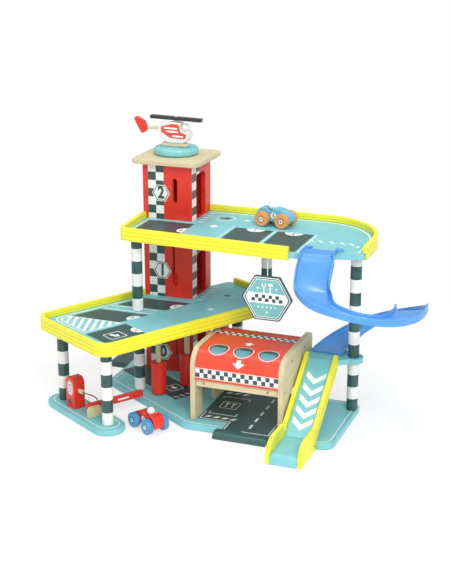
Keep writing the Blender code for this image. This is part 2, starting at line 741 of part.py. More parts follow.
def build_slide():
    """Two plastic halves butt together a quarter of the way behind the post."""
    rings = slide_rings()
    joint = (len(SLIDE_UPPER_ROUTE) - 1) * SLIDE_SPAN_STEPS
    shift = (rings[joint + 1][0] - rings[joint][0]).normalized() * 0.5
    upper = skin("slide_upper_half", rings[:joint + 1], BLUE)
    for start, end in SLIDE_TABS:
        join_solid(upper, rod("tab", start, end, 2.3, BLUE, 12, None, 0.8))
    skin("slide_lower_half", [[point + shift for point in rings[joint]]] + rings[joint + 1:], BLUE)


# Sign

SIGN_CENTRE = (215.4, -114.0, 202.5)
SIGN_R = 41.5
SIGN_T = 4.0
HANGER_R = 0.8


def build_sign():
    x, y, z = SIGN_CENTRE
    pivot = (x, y, DECK_BOTTOMS[1] - 1.5)
    corners = [(x + a, z + b, 4.0) for a, b in arc(0.0, 0.0, SIGN_R, 0.0, 300.0, 5)]
    slab("hex_sign", rounded(corners, 3), front_place(y - 0.5 * SIGN_T), SIGN_T, SLATE, pivot)
    top = z + SIGN_R * math.cos(math.radians(30.0)) + GAP
    rod("sign_hanger", (x, y, top), (x, y, DECK_BOTTOMS[1] - GAP), HANGER_R, WHITE, 10, pivot, 0.2)


# Fuel pump, hose and barrier

ISLAND_TOP = BASE_TOP
PUMP_CENTRE = (-81.4, -197.3)
PUMP_W = 24.0
PUMP_D = 20.0
PUMP_H = 52.0
NOZZLE_R = 3.8
NOZZLE_Z = 41.0
HOSE_R = 0.9
BARRIER_TURN = math.radians(56.5)
BRACKET_CORNER = (-37.8, -236.1)
BRACKET_L = 26.0
BRACKET_T = 8.0
BRACKET_TOP = 27.0
ARM_W = 6.0
ARM_HALF_H = 5.4
ARM_TAIL = 6.5
ARM_REACH = 98.0
ARM_PIVOT_ALONG = 8.0
ARM_PIVOT_Z = 25.0
ARM_SIDE_GAP = 0.5
PIN_R = 1.5
ALONG = Vector((0.5, math.sqrt(0.75), 0.0))
ACROSS = Vector((-math.sqrt(0.75), 0.5, 0.0))


def turned_place(centre, first, second, third):
    """Place for outlines on a turned frame: a along first, b along second, depth along third."""
    centre = Vector(centre)
    return lambda a, b, depth: tuple(centre + first * a + second * b + third * depth)


def build_pump():
    up = Vector((0.0, 0.0, 1.0))
    low, high = ISLAND_TOP + GAP, ISLAND_TOP + PUMP_H
    half = 0.5 * PUMP_W
    chamfer = 6.0
    outline = rounded([
        (-half, low, 0.0), (half, low, 0.0), (half, high - chamfer, 1.5),
        (half - chamfer, high, 1.5), (-half + chamfer, high, 1.5), (-half, high - chamfer, 1.5),
    ], 2)
    foot = Vector((*PUMP_CENTRE, 0.0)) - ALONG * (0.5 * PUMP_D)
    slab("fuel_pump", outline, turned_place(foot, ACROSS, up, ALONG), PUMP_D, RED)
    side = Vector((*PUMP_CENTRE, NOZZLE_Z)) - ACROSS * (half + GAP)
    tip = side - ACROSS * 10.0
    rod("pump_nozzle", side, tip, NOZZLE_R, PLYWOOD, 20)
    build_hose(tip - ACROSS * (GAP + 0.1))


def build_hose(start):
    end = Vector((-36.0, -202.0, ISLAND_TOP + GAP + 0.1))
    controls = (start, start - ACROSS * 16.0 - Vector((0.0, 0.0, 1.0)), end + Vector((0.0, 0.0, 26.0)), end)
    route = []
    steps = 16
    for step in range(steps + 1):
        t = step / steps
        weights = ((1 - t) ** 3, 3 * t * (1 - t) ** 2, 3 * t * t * (1 - t), t ** 3)
        route.append(sum((c * w for c, w in zip(controls, weights)), Vector((0.0, 0.0, 0.0))))
    rings = []
    for index, here in enumerate(route):
        ahead = (route[min(index + 1, steps)] - route[max(index - 1, 0)]).normalized()
        side = ahead.cross(Vector((0.3, 0.9, 0.1))).normalized()
        other = ahead.cross(side)
        ring = []
        for corner in range(8):
            turn = 2.0 * math.pi * corner / 8
            ring.append(tuple(here + side * (HOSE_R * math.cos(turn)) + other * (HOSE_R * math.sin(turn))))
        rings.append(ring)
    skin("pump_hose", rings, RED)


def build_barrier():
    """Arm hinged on a nail on the far side of a small wooden bracket."""
    along = Vector((math.cos(BARRIER_TURN), math.sin(BARRIER_TURN), 0.0))
    across = Vector((-math.sin(BARRIER_TURN), math.cos(BARRIER_TURN), 0.0))
    up = Vector((0.0, 0.0, 1.0))
    corner = Vector((*BRACKET_CORNER, 0.0))
    low = ISLAND_TOP + GAP
    outline = rounded([
        (0.0, low, 0.0), (BRACKET_L, low, 0.0), (BRACKET_L, BRACKET_TOP, 7.0), (0.0, BRACKET_TOP, 7.0),
    ], 4)
    bracket = slab("barrier_bracket", outline, turned_place(corner, along, up, across), BRACKET_T, PLYWOOD)
    pin_line = corner + along * ARM_PIVOT_ALONG + up * ARM_PIVOT_Z
    arm_near = BRACKET_T + ARM_SIDE_GAP
    arm_far = arm_near + ARM_W
    nail_end = pin_line + across * (arm_far + 1.0)
    join_solid(bracket, rod("nail", pin_line - across * 0.8, nail_end, PIN_R, PLYWOOD, 14, None, 0.3))
    pivot = pin_line + across * (0.5 * (arm_near + arm_far))
    r = ARM_HALF_H
    arm = arc(-ARM_TAIL + r, 0.0, r, 90.0, 270.0, 8) + arc(ARM_REACH - 1.5, -r + 1.5, 1.5, -90.0, 0.0, 3)
    arm += arc(ARM_REACH - 1.5, r - 1.5, 1.5, 0.0, 90.0, 3)
    start = pin_line + across * arm_near
    beam = slab("barrier_arm", arm, turned_place(start, along, up, across), ARM_W, RED, tuple(pivot))
    bore = across * (0.5 * ARM_W + 2.0)
    cut(beam, rod("arm bore", pivot - bore, pivot + bore, PIN_R + GAP, RED, 14, None, 0.01))


# Cars

HEAD_SEAT = (-7.5, 32.0)


def car_profile():
    seat_a, seat_b = HEAD_SEAT
    notch = [(a, b, 0.0) for a, b in arc(seat_a, seat_b, HEAD_R + GAP, 335.0, 205.0, 8)]
    corners = [
        (-28.0, 8.5, 1.0), (28.0, 7.5, 2.0), (31.0, 12.0, 3.0), (28.0, 21.0, 6.0), (12.0, 28.5, 8.0),
        (-0.6, 29.7, 0.0), *notch, (-15.0, 29.8, 0.0), (-26.0, 28.5, 4.0), (-31.0, 19.0, 5.0),
    ]
    return rounded(corners, 3)


def build_car(name, centre, heading_deg, floor, body_colour, wheel_colour):
    """Car centre is its plan middle; the heading is the way its nose points."""
    turn = math.radians(heading_deg)
    forward = Vector((math.cos(turn), math.sin(turn), 0.0))
    left = Vector((-math.sin(turn), math.cos(turn), 0.0))
    up = Vector((0.0, 0.0, 1.0))
    middle = Vector((*centre, floor))
    pivot = tuple(middle)
    corner = middle - left * (0.5 * CAR_BODY_W)
    body = slab(name + "_body", car_profile(), turned_place(corner, forward, up, left),
                CAR_BODY_W, body_colour, pivot)
    for end, offset in (("front", 0.5 * WHEELBASE), ("rear", -0.5 * WHEELBASE)):
        hub = middle + forward * offset + up * WHEEL_R
        reach = left * (0.5 * CAR_BODY_W + 4.0)
        cut(body, rod("axle bore", hub - reach, hub + reach, AXLE_R + 0.5, RED, 16, None, 0.01))
        outer = 0.5 * (CAR_TRACK + WHEEL_W)
        inner = 0.5 * (CAR_TRACK - WHEEL_W)
        r, soft = WHEEL_R, 1.6
        half = [(0.0, -outer), (r - soft, -outer), (r - 0.4, -outer + 0.5), (r, -outer + soft)]
        half += [(r, -inner - soft), (r - soft, -inner), (AXLE_R, -inner)]
        profile = half + [(radius, -height) for radius, height in reversed(half)]
        lathe(name + "_" + end + "_wheels", profile, hub, left, wheel_colour, 28, tuple(hub))
    seat = middle + forward * HEAD_SEAT[0] + up * (HEAD_SEAT[1])
    ball("%s_head" % name, seat, HEAD_R, pivot)


def ball(name, centre, radius, pivot):
    profile = [(radius * math.cos(math.radians(a)), radius * math.sin(math.radians(a)))
               for a in range(-75, 76, 15)]
    profile = [(0.0, -radius)] + profile + [(0.0, radius)]
    return lathe(name, profile, centre, (0.0, 0.0, 1.0), WHITE, 20, pivot)


# Helicopter

HELI_X = -3.5
HELI_Y = 50.0
HELI_T = 16.0
SKID_HALF_D = 7.0
SKID_T = 6.5
BOOM_R = 2.4
PILOT_R = 6.8
ROTOR_X = -3.6
ROTOR_HALF_L = 48.0
ROTOR_HALF_W = 5.5
ROTOR_T = 5.2
ROTOR_TURN = -5.5
MAST_R = 1.9


def heli_slab(name, outline, depth, colour, pivot):
    """Board cut-out standing along x, its outline given from the helicopter's own middle."""
    place = turned_place(
        (HELI_X, HELI_Y - 0.5 * depth, 0.0), Vector((1.0, 0.0, 0.0)), Vector((0.0, 0.0, 1.0)), Vector((0.0, 1.0, 0.0)))
    return slab(name, outline, place, depth, colour, pivot)


def build_helicopter():
    skid_low = PAD_TOP + GAP
    floor = skid_low + SKID_T + GAP
    pivot = (PAD_CENTRE[0], HELI_Y, skid_low)
    skid_start = (HELI_X - 24.5, HELI_Y - SKID_HALF_D, skid_low)
    skid_end = (HELI_X + 21.0, HELI_Y + SKID_HALF_D, skid_low + SKID_T)
    round_edges(box("heli_skid", skid_start, skid_end, PLYWOOD, pivot), 1.0)
    pilot_a, pilot_b = 17.0, floor + 26.7
    notch = [(a, b, 0.0) for a, b in arc(pilot_a, pilot_b, PILOT_R + 0.2, 300.0, 178.0, 7)]
    hull = heli_slab("heli_body", rounded([
        (-15.0, floor, 14.0), (18.5, floor, 14.0), (27.5, floor + 12.0, 7.0), (25.0, floor + 20.5, 1.5),
        *notch, (9.8, floor + 34.0, 1.0), (-6.0, floor + 35.0, 14.0),
        (-29.5, floor + 26.5, 9.0), (-32.0, floor + 14.0, 9.0),
    ], 5), HELI_T, WHITE, pivot)
    smooth_by_angle(hull)
    join_solid(hull, ball("pilot", (HELI_X + pilot_a, HELI_Y, pilot_b - 0.6), PILOT_R, None))
    boom_z = floor + 22.0
    boom_start = (HELI_X - 31.2, HELI_Y, boom_z)
    boom_end = (HELI_X - 51.7, HELI_Y, boom_z - 0.5)
    rod("heli_boom", boom_start, boom_end, BOOM_R, PLYWOOD, 16, pivot)
    heli_slab("heli_fin", rounded([
        (-76.5, floor + 36.5, 3.5), (-72.0, floor + 40.0, 4.0), (-57.0, floor + 33.0, 9.0),
        (-51.0, floor + 18.0, 5.0), (-62.0, floor + 10.5, 3.5),
    ], 4), 6.0, RED, pivot)
    build_rotor(hull, floor + 35.0)


def build_rotor(hull, mast_foot):
    """Rotor bar turns on a pin that is part of the body."""
    low = mast_foot + 2.6
    hub = Vector((ROTOR_X, HELI_Y, low))
    up = Vector((0.0, 0.0, 1.0))
    join_solid(hull, rod("mast", hub - up * 8.6, hub + up * (ROTOR_T + 0.7), MAST_R, PLYWOOD, 14, None, 0.3))
    half, side = ROTOR_HALF_L, ROTOR_HALF_W
    outline = rounded([(-half, -side, 2.5), (half, -side, 2.5), (half, side, 2.5), (-half, side, 2.5)], 3)
    turn = math.radians(ROTOR_TURN)
    along = Vector((math.cos(turn), math.sin(turn), 0.0))
    across = Vector((-math.sin(turn), math.cos(turn), 0.0))
    blade = slab("heli_rotor", outline, turned_place(hub, along, across, up), ROTOR_T, BLACK, tuple(hub))
    bore_end = up * (ROTOR_T + 2.0)
    cut(blade, rod("mast bore", hub - up * 2.0, hub + bore_end, MAST_R + 0.4, BLACK, 16, None, 0.01))


def build_all():
    clear_scene()
    build_base()
    build_tower()
    build_helipad()
    build_lift()
    build_lower_deck()
    build_upper_deck()
    build_posts()
    build_rollers()
    build_car_wash()
    build_ramp()
    build_runout()
    build_platform()
    build_slide()
    build_sign()
    build_pump()
    build_barrier()
    build_car("red_car", (54.8, -215.3), 148.4, 0.0, RED, WHEEL_BLUE)
    build_car("blue_car", (181.9, 26.0), -9.1, UPPER_DECK_TOP + GAP, SKY, ORANGE)
    build_helicopter()


build_all()
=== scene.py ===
"""Looks of the toy garage: paint, plywood, plastic, printed markings, screws and the fuel pump's hose.

Sizes are millimetres, measured from the middle of the tower's front at floor level. The function at()
turns them into the scene's metres.
"""
import math

import bmesh
import bpy
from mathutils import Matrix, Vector
from mathutils.geometry import interpolate_bezier


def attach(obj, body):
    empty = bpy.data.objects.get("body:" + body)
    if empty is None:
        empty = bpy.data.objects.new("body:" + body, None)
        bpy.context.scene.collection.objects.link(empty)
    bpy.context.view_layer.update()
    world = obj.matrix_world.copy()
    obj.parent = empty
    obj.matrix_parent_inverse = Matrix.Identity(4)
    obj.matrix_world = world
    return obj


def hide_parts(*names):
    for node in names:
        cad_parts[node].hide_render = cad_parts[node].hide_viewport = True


MM = 0.001
ORIGIN_X = 155.6
ORIGIN_Y = -81.3
UP = Vector((0.0, 0.0, 1.0))

# Heights and places that the printing and the screws sit on

BASE_TOP = 10.0
LOWER_TOP = 145.2
UPPER_TOP = 281.0
BOARD_T = 8.0
ROOF_BOTTOM = 374.5
TOWER_HALF_W = 44.0
RAIL_ABOVE = 10.0
DOOR_FRONT = 19.0
DOOR_TOPS = (85.0, 220.2, 356.0)
TOWER_SQUARE = 14.0
PRINT_GAP = 0.4
BADGE_R = 16.0
PLATFORM_TOP = 101.0
SIGN_CENTRE = (215.4, -114.0, 202.5)
SIGN_T = 4.0
SIGN_FIELD_R = 34.6
SIGN_BAND_HALF = 8.6
LIP_LEFT = 162.9
LIP_RIGHT = 249.1
LIP_BACK = -199.6
ENTRY_RIGHT = -81.05
WASH_LEFT = 112.0
WASH_RIGHT = 264.7
WASH_FRONT = -181.0
WASH_TOP = 127.0
WASH_CORNER_R = 27.5
COVER_CLEARANCE = 0.02
COVER_INSET = 1.5
COVER_FOOT_Z = 78.0
PORTHOLE_R = 16.6
RAMP_FOOT_Y = -200.3
RAMP_FOOT_Z = 15.3
RAMP_TOP_Y = -78.6
RAMP_TOP_Z = 100.0
RAMP_RAIL_ABOVE = 7.5
RAMP_SLOPE = (RAMP_TOP_Z - RAMP_FOOT_Z) / (RAMP_TOP_Y - RAMP_FOOT_Y)
ISLAND_AXIS = ((-113.0, -175.0), (-2.0, -243.5))
ISLAND_LINE_R = 18.0
PUMP_ACROSS = Vector((-math.sqrt(0.75), 0.5, 0.0))
PUMP_ALONG = Vector((0.5, math.sqrt(0.75), 0.0))
PUMP_CENTRE = (-81.4, -197.3)
PUMP_D = 20.0
PUMP_SIDE = 12.0
NOZZLE_Z = 41.0
NOZZLE_L = 10.0
HOSE_D = 1.8
HOSE_END = (-36.0, -202.0, 10.4)
HOSE_STEPS = 24
HOSE_GAP = 0.4
HOSE_START_PULL = 22.0
HOSE_END_PULL = 30.0
BARRIER_TURN = math.radians(56.5)
BARRIER_CORNER = (-37.8, -236.1)
BARRIER_ARM_FRONT = 8.5
BARRIER_ARM_BACK = 14.5
BARRIER_PIVOT_ALONG = 8.0
BARRIER_PIVOT_Z = 25.0
HELI_MIDDLE_Y = 50.0
HELI_T = 16.0
WHEEL_R = 12.2
WHEEL_FACE = 19.4
CAR_HALF_W = 9.7
SCREW_R = 1.8
SCREW_RIM = 0.35
HALF_WHEELBASE = 18.0

# Camera: its place, its tilt up from straight down and its turn in degrees, and its lens

CAMERA_PLACE = (818.5, -1900.9, 825.0)
CAMERA_TILT = 72.0
CAMERA_HEADING = 20.6
CAMERA_LENS = 52.52
CAMERA_SENSOR = 24.0

# Light: lamps as name, place in metres, width and watts, then the sky's brighter side and its strengths

LAMPS = (
    ("key", (1.4, -2.0, 2.1), 1.6, 57.0),
    ("fill", (-1.9, -1.3, 1.5), 1.6, 4.0),
    ("top", (-0.3, 0.2, 2.4), 1.4, 15.0),
)
LAMP_TARGET = (0.0, 0.0, 0.15)
FLOOR_R = 14.0
FLOOR_DROP = 0.4 * MM
FLOOR_FADE = (0.32, 0.95)
BRIGHT_SIDE = (0.55, -0.50, 0.67)
SKY_DIM = 0.32
SKY_BRIGHT = 0.92

# Printing: how far each layer of ink stands off the surface

INK_FOOT = 0.01
INK_STEP = 0.06
DIGIT_SHARE = 0.7

# Surface texture sizes, in metres

FLUTE_PERIOD = 6.5 * MM
FIRST_FLUTE = 2.0 * MM
PLY_T = 1.6 * MM
SHARP_EDGE = 0.6 * MM
BOARD_EDGE = 0.8 * MM
RAIL_EDGE = 0.7 * MM
PLASTIC_EDGE = 0.9 * MM
CAR_EDGE = 2.4 * MM
HELI_EDGE = 1.6 * MM

# Linear colours

TURQUOISE = (0.195, 0.53, 0.57)
YELLOW = (0.84, 0.79, 0.03)
RED = (0.72, 0.028, 0.012)
COVER_RED = (0.76, 0.060, 0.030)
WHITE = (0.82, 0.82, 0.80)
SLATE = (0.028, 0.088, 0.085)
PLYWOOD = (0.63, 0.56, 0.35)
SLIDE_BLUE = (0.075, 0.285, 0.68)
WHEEL_BLUE = (0.055, 0.27, 0.53)
SKY = (0.14, 0.45, 0.62)
ORANGE = (0.74, 0.29, 0.065)
BARE_WOOD = (0.85, 0.80, 0.70)
TURNED_WOOD = (0.86, 0.78, 0.62)
GRAIN_BROWN = (0.45, 0.28, 0.12)
GLUE_BROWN = (0.40, 0.22, 0.09)
PALE_YELLOW = (0.95, 0.93, 0.55)
EDGE_HIGHLIGHT_BLUE = (0.6, 0.75, 1.0)
BLACK = (0.025, 0.025, 0.027)
STEEL = (0.33, 0.32, 0.30)
IVORY = (0.76, 0.74, 0.71)

# Each ink's linear colour and the material slot that it goes by
INKS = {
    "white": ((0.82, 0.83, 0.81), "white_post"),
    "pale": ((0.55, 0.74, 0.75), "white_post"),
    "slate": ((0.028, 0.078, 0.075), "slate_sign"),
    "sky": ((0.165, 0.46, 0.47), "turquoise_board"),
    "glass": ((0.11, 0.30, 0.36), "turquoise_board"),
    "red": ((0.72, 0.055, 0.035), "red_board"),
    "black": ((0.02, 0.025, 0.028), "black_bar"),
}


def at(x, y, z):
    return Vector(((x - ORIGIN_X) * MM, (y - ORIGIN_Y) * MM, z * MM))


def scene_x(x):
    return at(x, 0.0, 0.0).x


def scene_y(y):
    return at(0.0, y, 0.0).y


def turned(u, v):
    """Plan place of a point on the lower deck, which is turned 60 degrees."""
    return 0.5 * u - math.sqrt(0.75) * v, math.sqrt(0.75) * u + 0.5 * v


# Plan outlines

def arc(centre, radius, start, end, steps):
    points = []
    for step in range(steps + 1):
        turn = math.radians(start + (end - start) * step / steps)
        points.append((centre[0] + radius * math.cos(turn), centre[1] + radius * math.sin(turn)))
    return points


def circle(centre, radius, steps=32):
    return arc(centre, radius, 0.0, 360.0, steps)[:-1]


def hexagon(centre, radius):
    """Hexagon with a corner at its left and at its right."""
    return circle(centre, radius, 6)


def box_outline(left, right, low, high):
    return [(left, low), (right, low), (right, high), (left, high)]


def rounded_box(left, right, low, high, radius):
    return bent([(a, b, radius) for a, b in box_outline(left, right, low, high)])


def bent(corners, closed=True, steps=5):
    """Path through (a, b, radius) corners, each rounded by its radius."""
    path = []
    count = len(corners)
    for index, (a, b, radius) in enumerate(corners):
        inner = closed or 0 < index < count - 1
        if radius == 0.0 or not inner:
            path.append((a, b))
            continue
        here = Vector((a, b))
        back = (Vector(corners[index - 1][:2]) - here).normalized()
        ahead = (Vector(corners[(index + 1) % count][:2]) - here).normalized()
        half = 0.5 * back.angle(ahead)
        reach = radius / math.tan(half)
        start, end = here + back * reach, here + ahead * reach
        centre = here + (back + ahead).normalized() * (radius / math.sin(half))
        low = math.atan2(*(start - centre).yx)
        sweep = (math.atan2(*(end - centre).yx) - low + math.pi) % (2.0 * math.pi) - math.pi
        path += arc(centre, radius, math.degrees(low), math.degrees(low + sweep), steps)
    return path


def shifted(path, distance, closed):
    """Path moved to its left by the distance, with mitred corners."""
    moved = []
    count = len(path)
    for index, point in enumerate(path):
        here = Vector(point)
        before = Vector(path[index - 1]) if closed or index else None
        after = Vector(path[(index + 1) % count]) if closed or index + 1 < count else None
        headings = []
        if before is not None:
            headings.append((here - before).normalized())
        if after is not None:
            headings.append((after - here).normalized())
        sides = [Vector((-heading.y, heading.x)) for heading in headings]
        middle = sum(sides, Vector((0.0, 0.0))).normalized()
        moved.append(tuple(here + middle * (distance / middle.dot(sides[0]))))
    return moved


def clipped(outline, point, normal):
    """The part of an outline on the side of a line that its normal points to."""
    kept = []
    spot, side = Vector(point), Vector(normal)
    for index, corner in enumerate(outline):
        here, before = Vector(corner), Vector(outline[index - 1])
        depth, depth_before = (here - spot).dot(side), (before - spot).dot(side)
        if (depth >= 0.0) != (depth_before >= 0.0):
            kept.append(tuple(before.lerp(here, depth_before / (depth_before - depth))))
        if depth >= 0.0:
            kept.append(corner)
    return kept


def cut_between(outline, low, high):
    """The part of an outline between two heights of its second axis."""
    return clipped(clipped(outline, (0.0, low), (0.0, 1.0)), (0.0, high), (0.0, -1.0))


# Printing

def on_level(z):
    """Place function of printing on a level face at height z."""
    return lambda a, b, height: at(a, b, z + height)


def on_turned_deck(u, v, height):
    return at(*turned(u, v), LOWER_TOP + height)


class Print:
    """Flat printing on one surface.

    The place function turns the surface's own two axes and a height above it into a point of the scene.
    Each ink becomes one piece made of thin closed plates. On a curved surface, slices is the width of
    the strips that an outline is cut into along the second axis.
    """

    def __init__(self, name, place, body="garage", slices=None):
        self.name = name
        self.body = body
        self.place = place
        self.slices = slices
        self.sheets = {}

    def sheet(self, ink):
        return self.sheets.setdefault(ink, ([], []))

    def plate(self, ink, outline, layer):
        verts, faces = self.sheet(ink)
        start, count = len(verts), len(outline)
        verts += [self.place(a, b, INK_STEP * layer) for a, b in outline]
        verts += [self.place(a, b, INK_FOOT) for a, b in outline]
        faces.append([start + index for index in range(count)])
        faces.append([start + count + index for index in reversed(range(count))])
        faces += strip(start, start + count, count)

    def area(self, ink, outline, layer=1):
        if self.slices is None:
            self.plate(ink, outline, layer)
            return
        low = min(b for a, b in outline)
        high = max(b for a, b in outline)
        count = max(1, math.ceil((high - low) / self.slices))
        for step in range(count):
            floor = low + (high - low) * step / count
            ceiling = low + (high - low) * (step + 1) / count
            strip = cut_between(outline, floor, ceiling)
            if len(strip) > 2:
                self.plate(ink, strip, layer)

    def band(self, ink, outer, inner, layer=1):
        """Closed band between two outlines of as many corners."""
        verts, faces = self.sheet(ink)
        start, count = len(verts), len(outer)
        top = INK_STEP * layer
        for loop, height in ((outer, top), (inner, top), (inner, INK_FOOT), (outer, INK_FOOT)):
            verts += [self.place(a, b, height) for a, b in loop]
        for ring in range(4):
            faces += strip(start + ring * count, start + (ring + 1) % 4 * count, count)

    def line(self, ink, path, width, layer=1, closed=False):
        left = shifted(path, 0.5 * width, closed)
        right = shifted(path, -0.5 * width, closed)
        if closed:
            self.band(ink, left, right, layer)
        else:
            self.area(ink, left + right[::-1], layer)

    def disc(self, ink, centre, radius, layer=1):
        if self.slices is None:
            self.area(ink, circle(centre, radius), layer)
            return
        rings = math.ceil(radius / self.slices)
        for ring in range(1, rings):
            outer, inner = radius * (ring + 1) / rings, radius * ring / rings
            self.band(ink, circle(centre, outer), circle(centre, inner), layer)
        self.plate(ink, circle(centre, radius / rings), layer)

    def number(self, ink, text, centre, height, layer=1, turn=0.0, narrow=1.0, weight=0.025):
        """Upright digits of the given height, centred on a place and turned by degrees."""
        curve = bpy.data.curves.new("number", "FONT")
        curve.body = text
        curve.align_x = "CENTER"
        curve.align_y = "CENTER"
        curve.size = height / DIGIT_SHARE
        curve.offset = weight * height
        curve.extrude = 0.5
        curve.resolution_u = 4
        maker = bpy.data.objects.new("number", curve)
        mesh = maker.to_mesh()
        verts, faces = self.sheet(ink)
        start = len(verts)
        spots = placed([(vertex.co.x * narrow, vertex.co.y) for vertex in mesh.vertices], centre, turn)
        for vertex, spot in zip(mesh.vertices, spots):
            verts.append(self.place(*spot, INK_STEP * layer if vertex.co.z > 0.0 else INK_FOOT))
        faces += [[start + index for index in face.vertices] for face in mesh.polygons]
        maker.to_mesh_clear()
        bpy.data.objects.remove(maker)
        bpy.data.curves.remove(curve)

    def finish(self):
        for ink, (verts, faces) in self.sheets.items():
            piece = mesh_piece("%s_%s" % (self.name, ink), verts, faces)
            piece.data.materials.append(ink_paint(ink))
            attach(piece, self.body)


def strip(here, there, count):
    """Faces between two closed loops of count corners, each given by its first corner's number."""
    for index in range(count):
        after = (index + 1) % count
        yield [here + index, here + after, there + after, there + index]


def mesh_piece(name, verts, faces):
    mesh = bpy.data.meshes.new(name)
    builder = bmesh.new()
    corners = [builder.verts.new(vert) for vert in verts]
    for face in faces:
        builder.faces.new([corners[index] for index in face])
    bmesh.ops.remove_doubles(builder, verts=builder.verts, dist=1e-7)
    bmesh.ops.recalc_face_normals(builder, faces=builder.faces)
    builder.to_mesh(mesh)
    builder.free()
    piece = bpy.data.objects.new(name, mesh)
    bpy.context.scene.collection.objects.link(piece)
    return piece


# Material nodes

class Nodes:
    """Node graph of one material, in the object's own metres, or of the world, in directions.

    A material's edges look rounded by the edge radius.
    """

    def __init__(self, name, edge=None, world=False):
        self.owner = bpy.data.worlds.new(name) if world else bpy.data.materials.new(name)
        self.owner.use_nodes = True
        self.tree = self.owner.node_tree
        self.tree.nodes.clear()
        self.coordinates = self.add("TexCoord").outputs["Generated" if world else "Object"]
        self.soft = self.add("Bevel", {"Radius": edge}, samples=6).outputs[0] if edge else None

    def add(self, kind, sockets=None, **settings):
        made = self.tree.nodes.new("ShaderNode" + kind)
        for key, value in settings.items():
            setattr(made, key, value)
        for key, value in (sockets or {}).items():
            if isinstance(value, bpy.types.NodeSocket):
                self.tree.links.new(value, made.inputs[key])
            else:
                made.inputs[key].default_value = value
        return made

    def math(self, operation, first, second=0.0):
        return self.add("Math", {0: first, 1: second}, operation=operation).outputs[0]

    def times(self, first, second):
        return self.math("MULTIPLY", first, second)

    def axis(self, letter):
        return self.add("SeparateXYZ", {0: self.coordinates}).outputs[letter]

    def noise(self, scale, detail=3.0, stretch=(1.0, 1.0, 1.0), offset=(0.0, 0.0, 0.0)):
        place = self.add("Mapping", {"Vector": self.coordinates, "Location": offset, "Scale": stretch})
        sockets = {"Vector": place.outputs[0], "Scale": scale, "Detail": detail}
        return self.add("TexNoise", sockets).outputs["Fac"]

    def span(self, value, low, high, to_low=0.0, to_high=1.0):
        """Clamped change of one range into another."""
        sockets = {"Value": value, "From Min": low, "From Max": high, "To Min": to_low, "To Max": to_high}
        return self.add("MapRange", sockets).outputs[0]

    def varied(self, scale, detail, low=0.0, high=1.0, stretch=(1.0, 1.0, 1.0)):
        """Noise spread over a range of values."""
        return self.span(self.noise(scale, detail, stretch), 0.3, 0.7, low, high)

    def tinted(self, paint, mask, share, colour):
        """Paint with a share of another colour in it where the mask is 1."""
        return self.mix(self.times(mask, share), paint, colour)

    def mix(self, factor, first, second):
        sockets = {0: factor, 6: colour4(first), 7: colour4(second)}
        return self.add("Mix", sockets, data_type="RGBA").outputs[2]

    def inside(self, value, low, high):
        """1 where the value lies between low and high, and 0 elsewhere."""
        above, below = self.math("GREATER_THAN", value, low), self.math("LESS_THAN", value, high)
        return self.times(above, below)

    def seen_by(self, *kinds):
        """1 for rays of the given kinds, and 0 for others."""
        path = self.add("LightPath").outputs
        seen = 0.0
        for kind in kinds:
            seen = self.math("MAXIMUM", path["Is %s Ray" % kind], seen)
        return seen

    def edges(self):
        """1 along the rounded edges, and 0 on flat faces."""
        true_normal = self.add("NewGeometry").outputs["True Normal"]
        facing = self.add("VectorMath", {0: self.soft, 1: true_normal}, operation="DOT_PRODUCT")
        return self.span(facing.outputs["Value"], 0.995, 0.88)

    def wear_and_edge_highlight(self, paint, spots, share, pale_colour):
        """Paler spots along the edges: paint rubbed down towards the given colour, and partly a painted
        highlight where the edges catch light.
        """
        return self.tinted(paint, self.times(self.edges(), spots), share, pale_colour)

    def surface(self, colour, roughness, relief, depth, strength=1.0, metallic=0.0):
        """Finish the material, with a relief of the given depth."""
        bump = {"Height": relief, "Distance": depth, "Strength": strength}
        if self.soft is not None:
            bump["Normal"] = self.soft
        sockets = {"Base Color": colour, "Roughness": roughness, "Metallic": metallic}
        shader = self.add("BsdfPrincipled", {**sockets, "Normal": self.add("Bump", bump).outputs[0]})
        self.add("OutputMaterial", {"Surface": shader.outputs[0]})
        return self.owner


def colour4(value):
    return value if isinstance(value, bpy.types.NodeSocket) else (*value, 1.0)


def shade(colour, amount):
    return tuple(min(1.0, channel * amount) for channel in colour)


def toward(colour, other, share):
    return tuple(a + (b - a) * share for a, b in zip(colour, other))


# Finishes

def board_paint(name, colour, roughness=0.36, second=None, second_mask=None):
    """Sprayed paint on a board: faint mottling, wood grain showing through, and paler edges, partly rubbed
    and partly a painted highlight.
    """
    nodes = Nodes(name, BOARD_EDGE)
    mottle = nodes.span(nodes.noise(38.0, 5.0), 0.32, 0.68)
    paint = nodes.mix(mottle, shade(colour, 0.94), shade(colour, 1.05))
    if second is not None:
        other = nodes.mix(mottle, shade(second, 0.88), shade(second, 1.12))
        paint = nodes.mix(second_mask(nodes), paint, other)
    edge_spots = nodes.span(nodes.noise(420.0, 4.0), 0.42, 0.62)
    # Paler spots on the edges: partly rubbed paint, partly a painted highlight
    paint = nodes.wear_and_edge_highlight(paint, edge_spots, 0.55, toward(colour, BARE_WOOD, 0.45))
    grain = nodes.noise(190.0, 4.0, stretch=(0.08, 1.0, 1.0))
    orange_peel = nodes.noise(900.0, 2.0)
    relief = nodes.math("ADD", grain, nodes.times(orange_peel, 0.35))
    gloss = nodes.varied(75.0, 4.0, roughness - 0.06, roughness + 0.10)
    return nodes.surface(paint, gloss, relief, 0.06 * MM, 0.6)


def base_board_paint():
    """Turquoise board whose road lip and lift entry slope are dark."""
    def dark_part(nodes):
        x, y = nodes.axis("X"), nodes.axis("Y")
        left, right = scene_x(LIP_LEFT), scene_x(LIP_RIGHT)
        before_base = nodes.math("LESS_THAN", y, scene_y(LIP_BACK))
        lip = nodes.times(nodes.inside(x, left, right), before_base)
        entry = nodes.math("LESS_THAN", x, scene_x(ENTRY_RIGHT))
        return nodes.math("MAXIMUM", lip, entry)
    return board_paint("base_board_paint", TURQUOISE, 0.36, SLATE, dark_part)


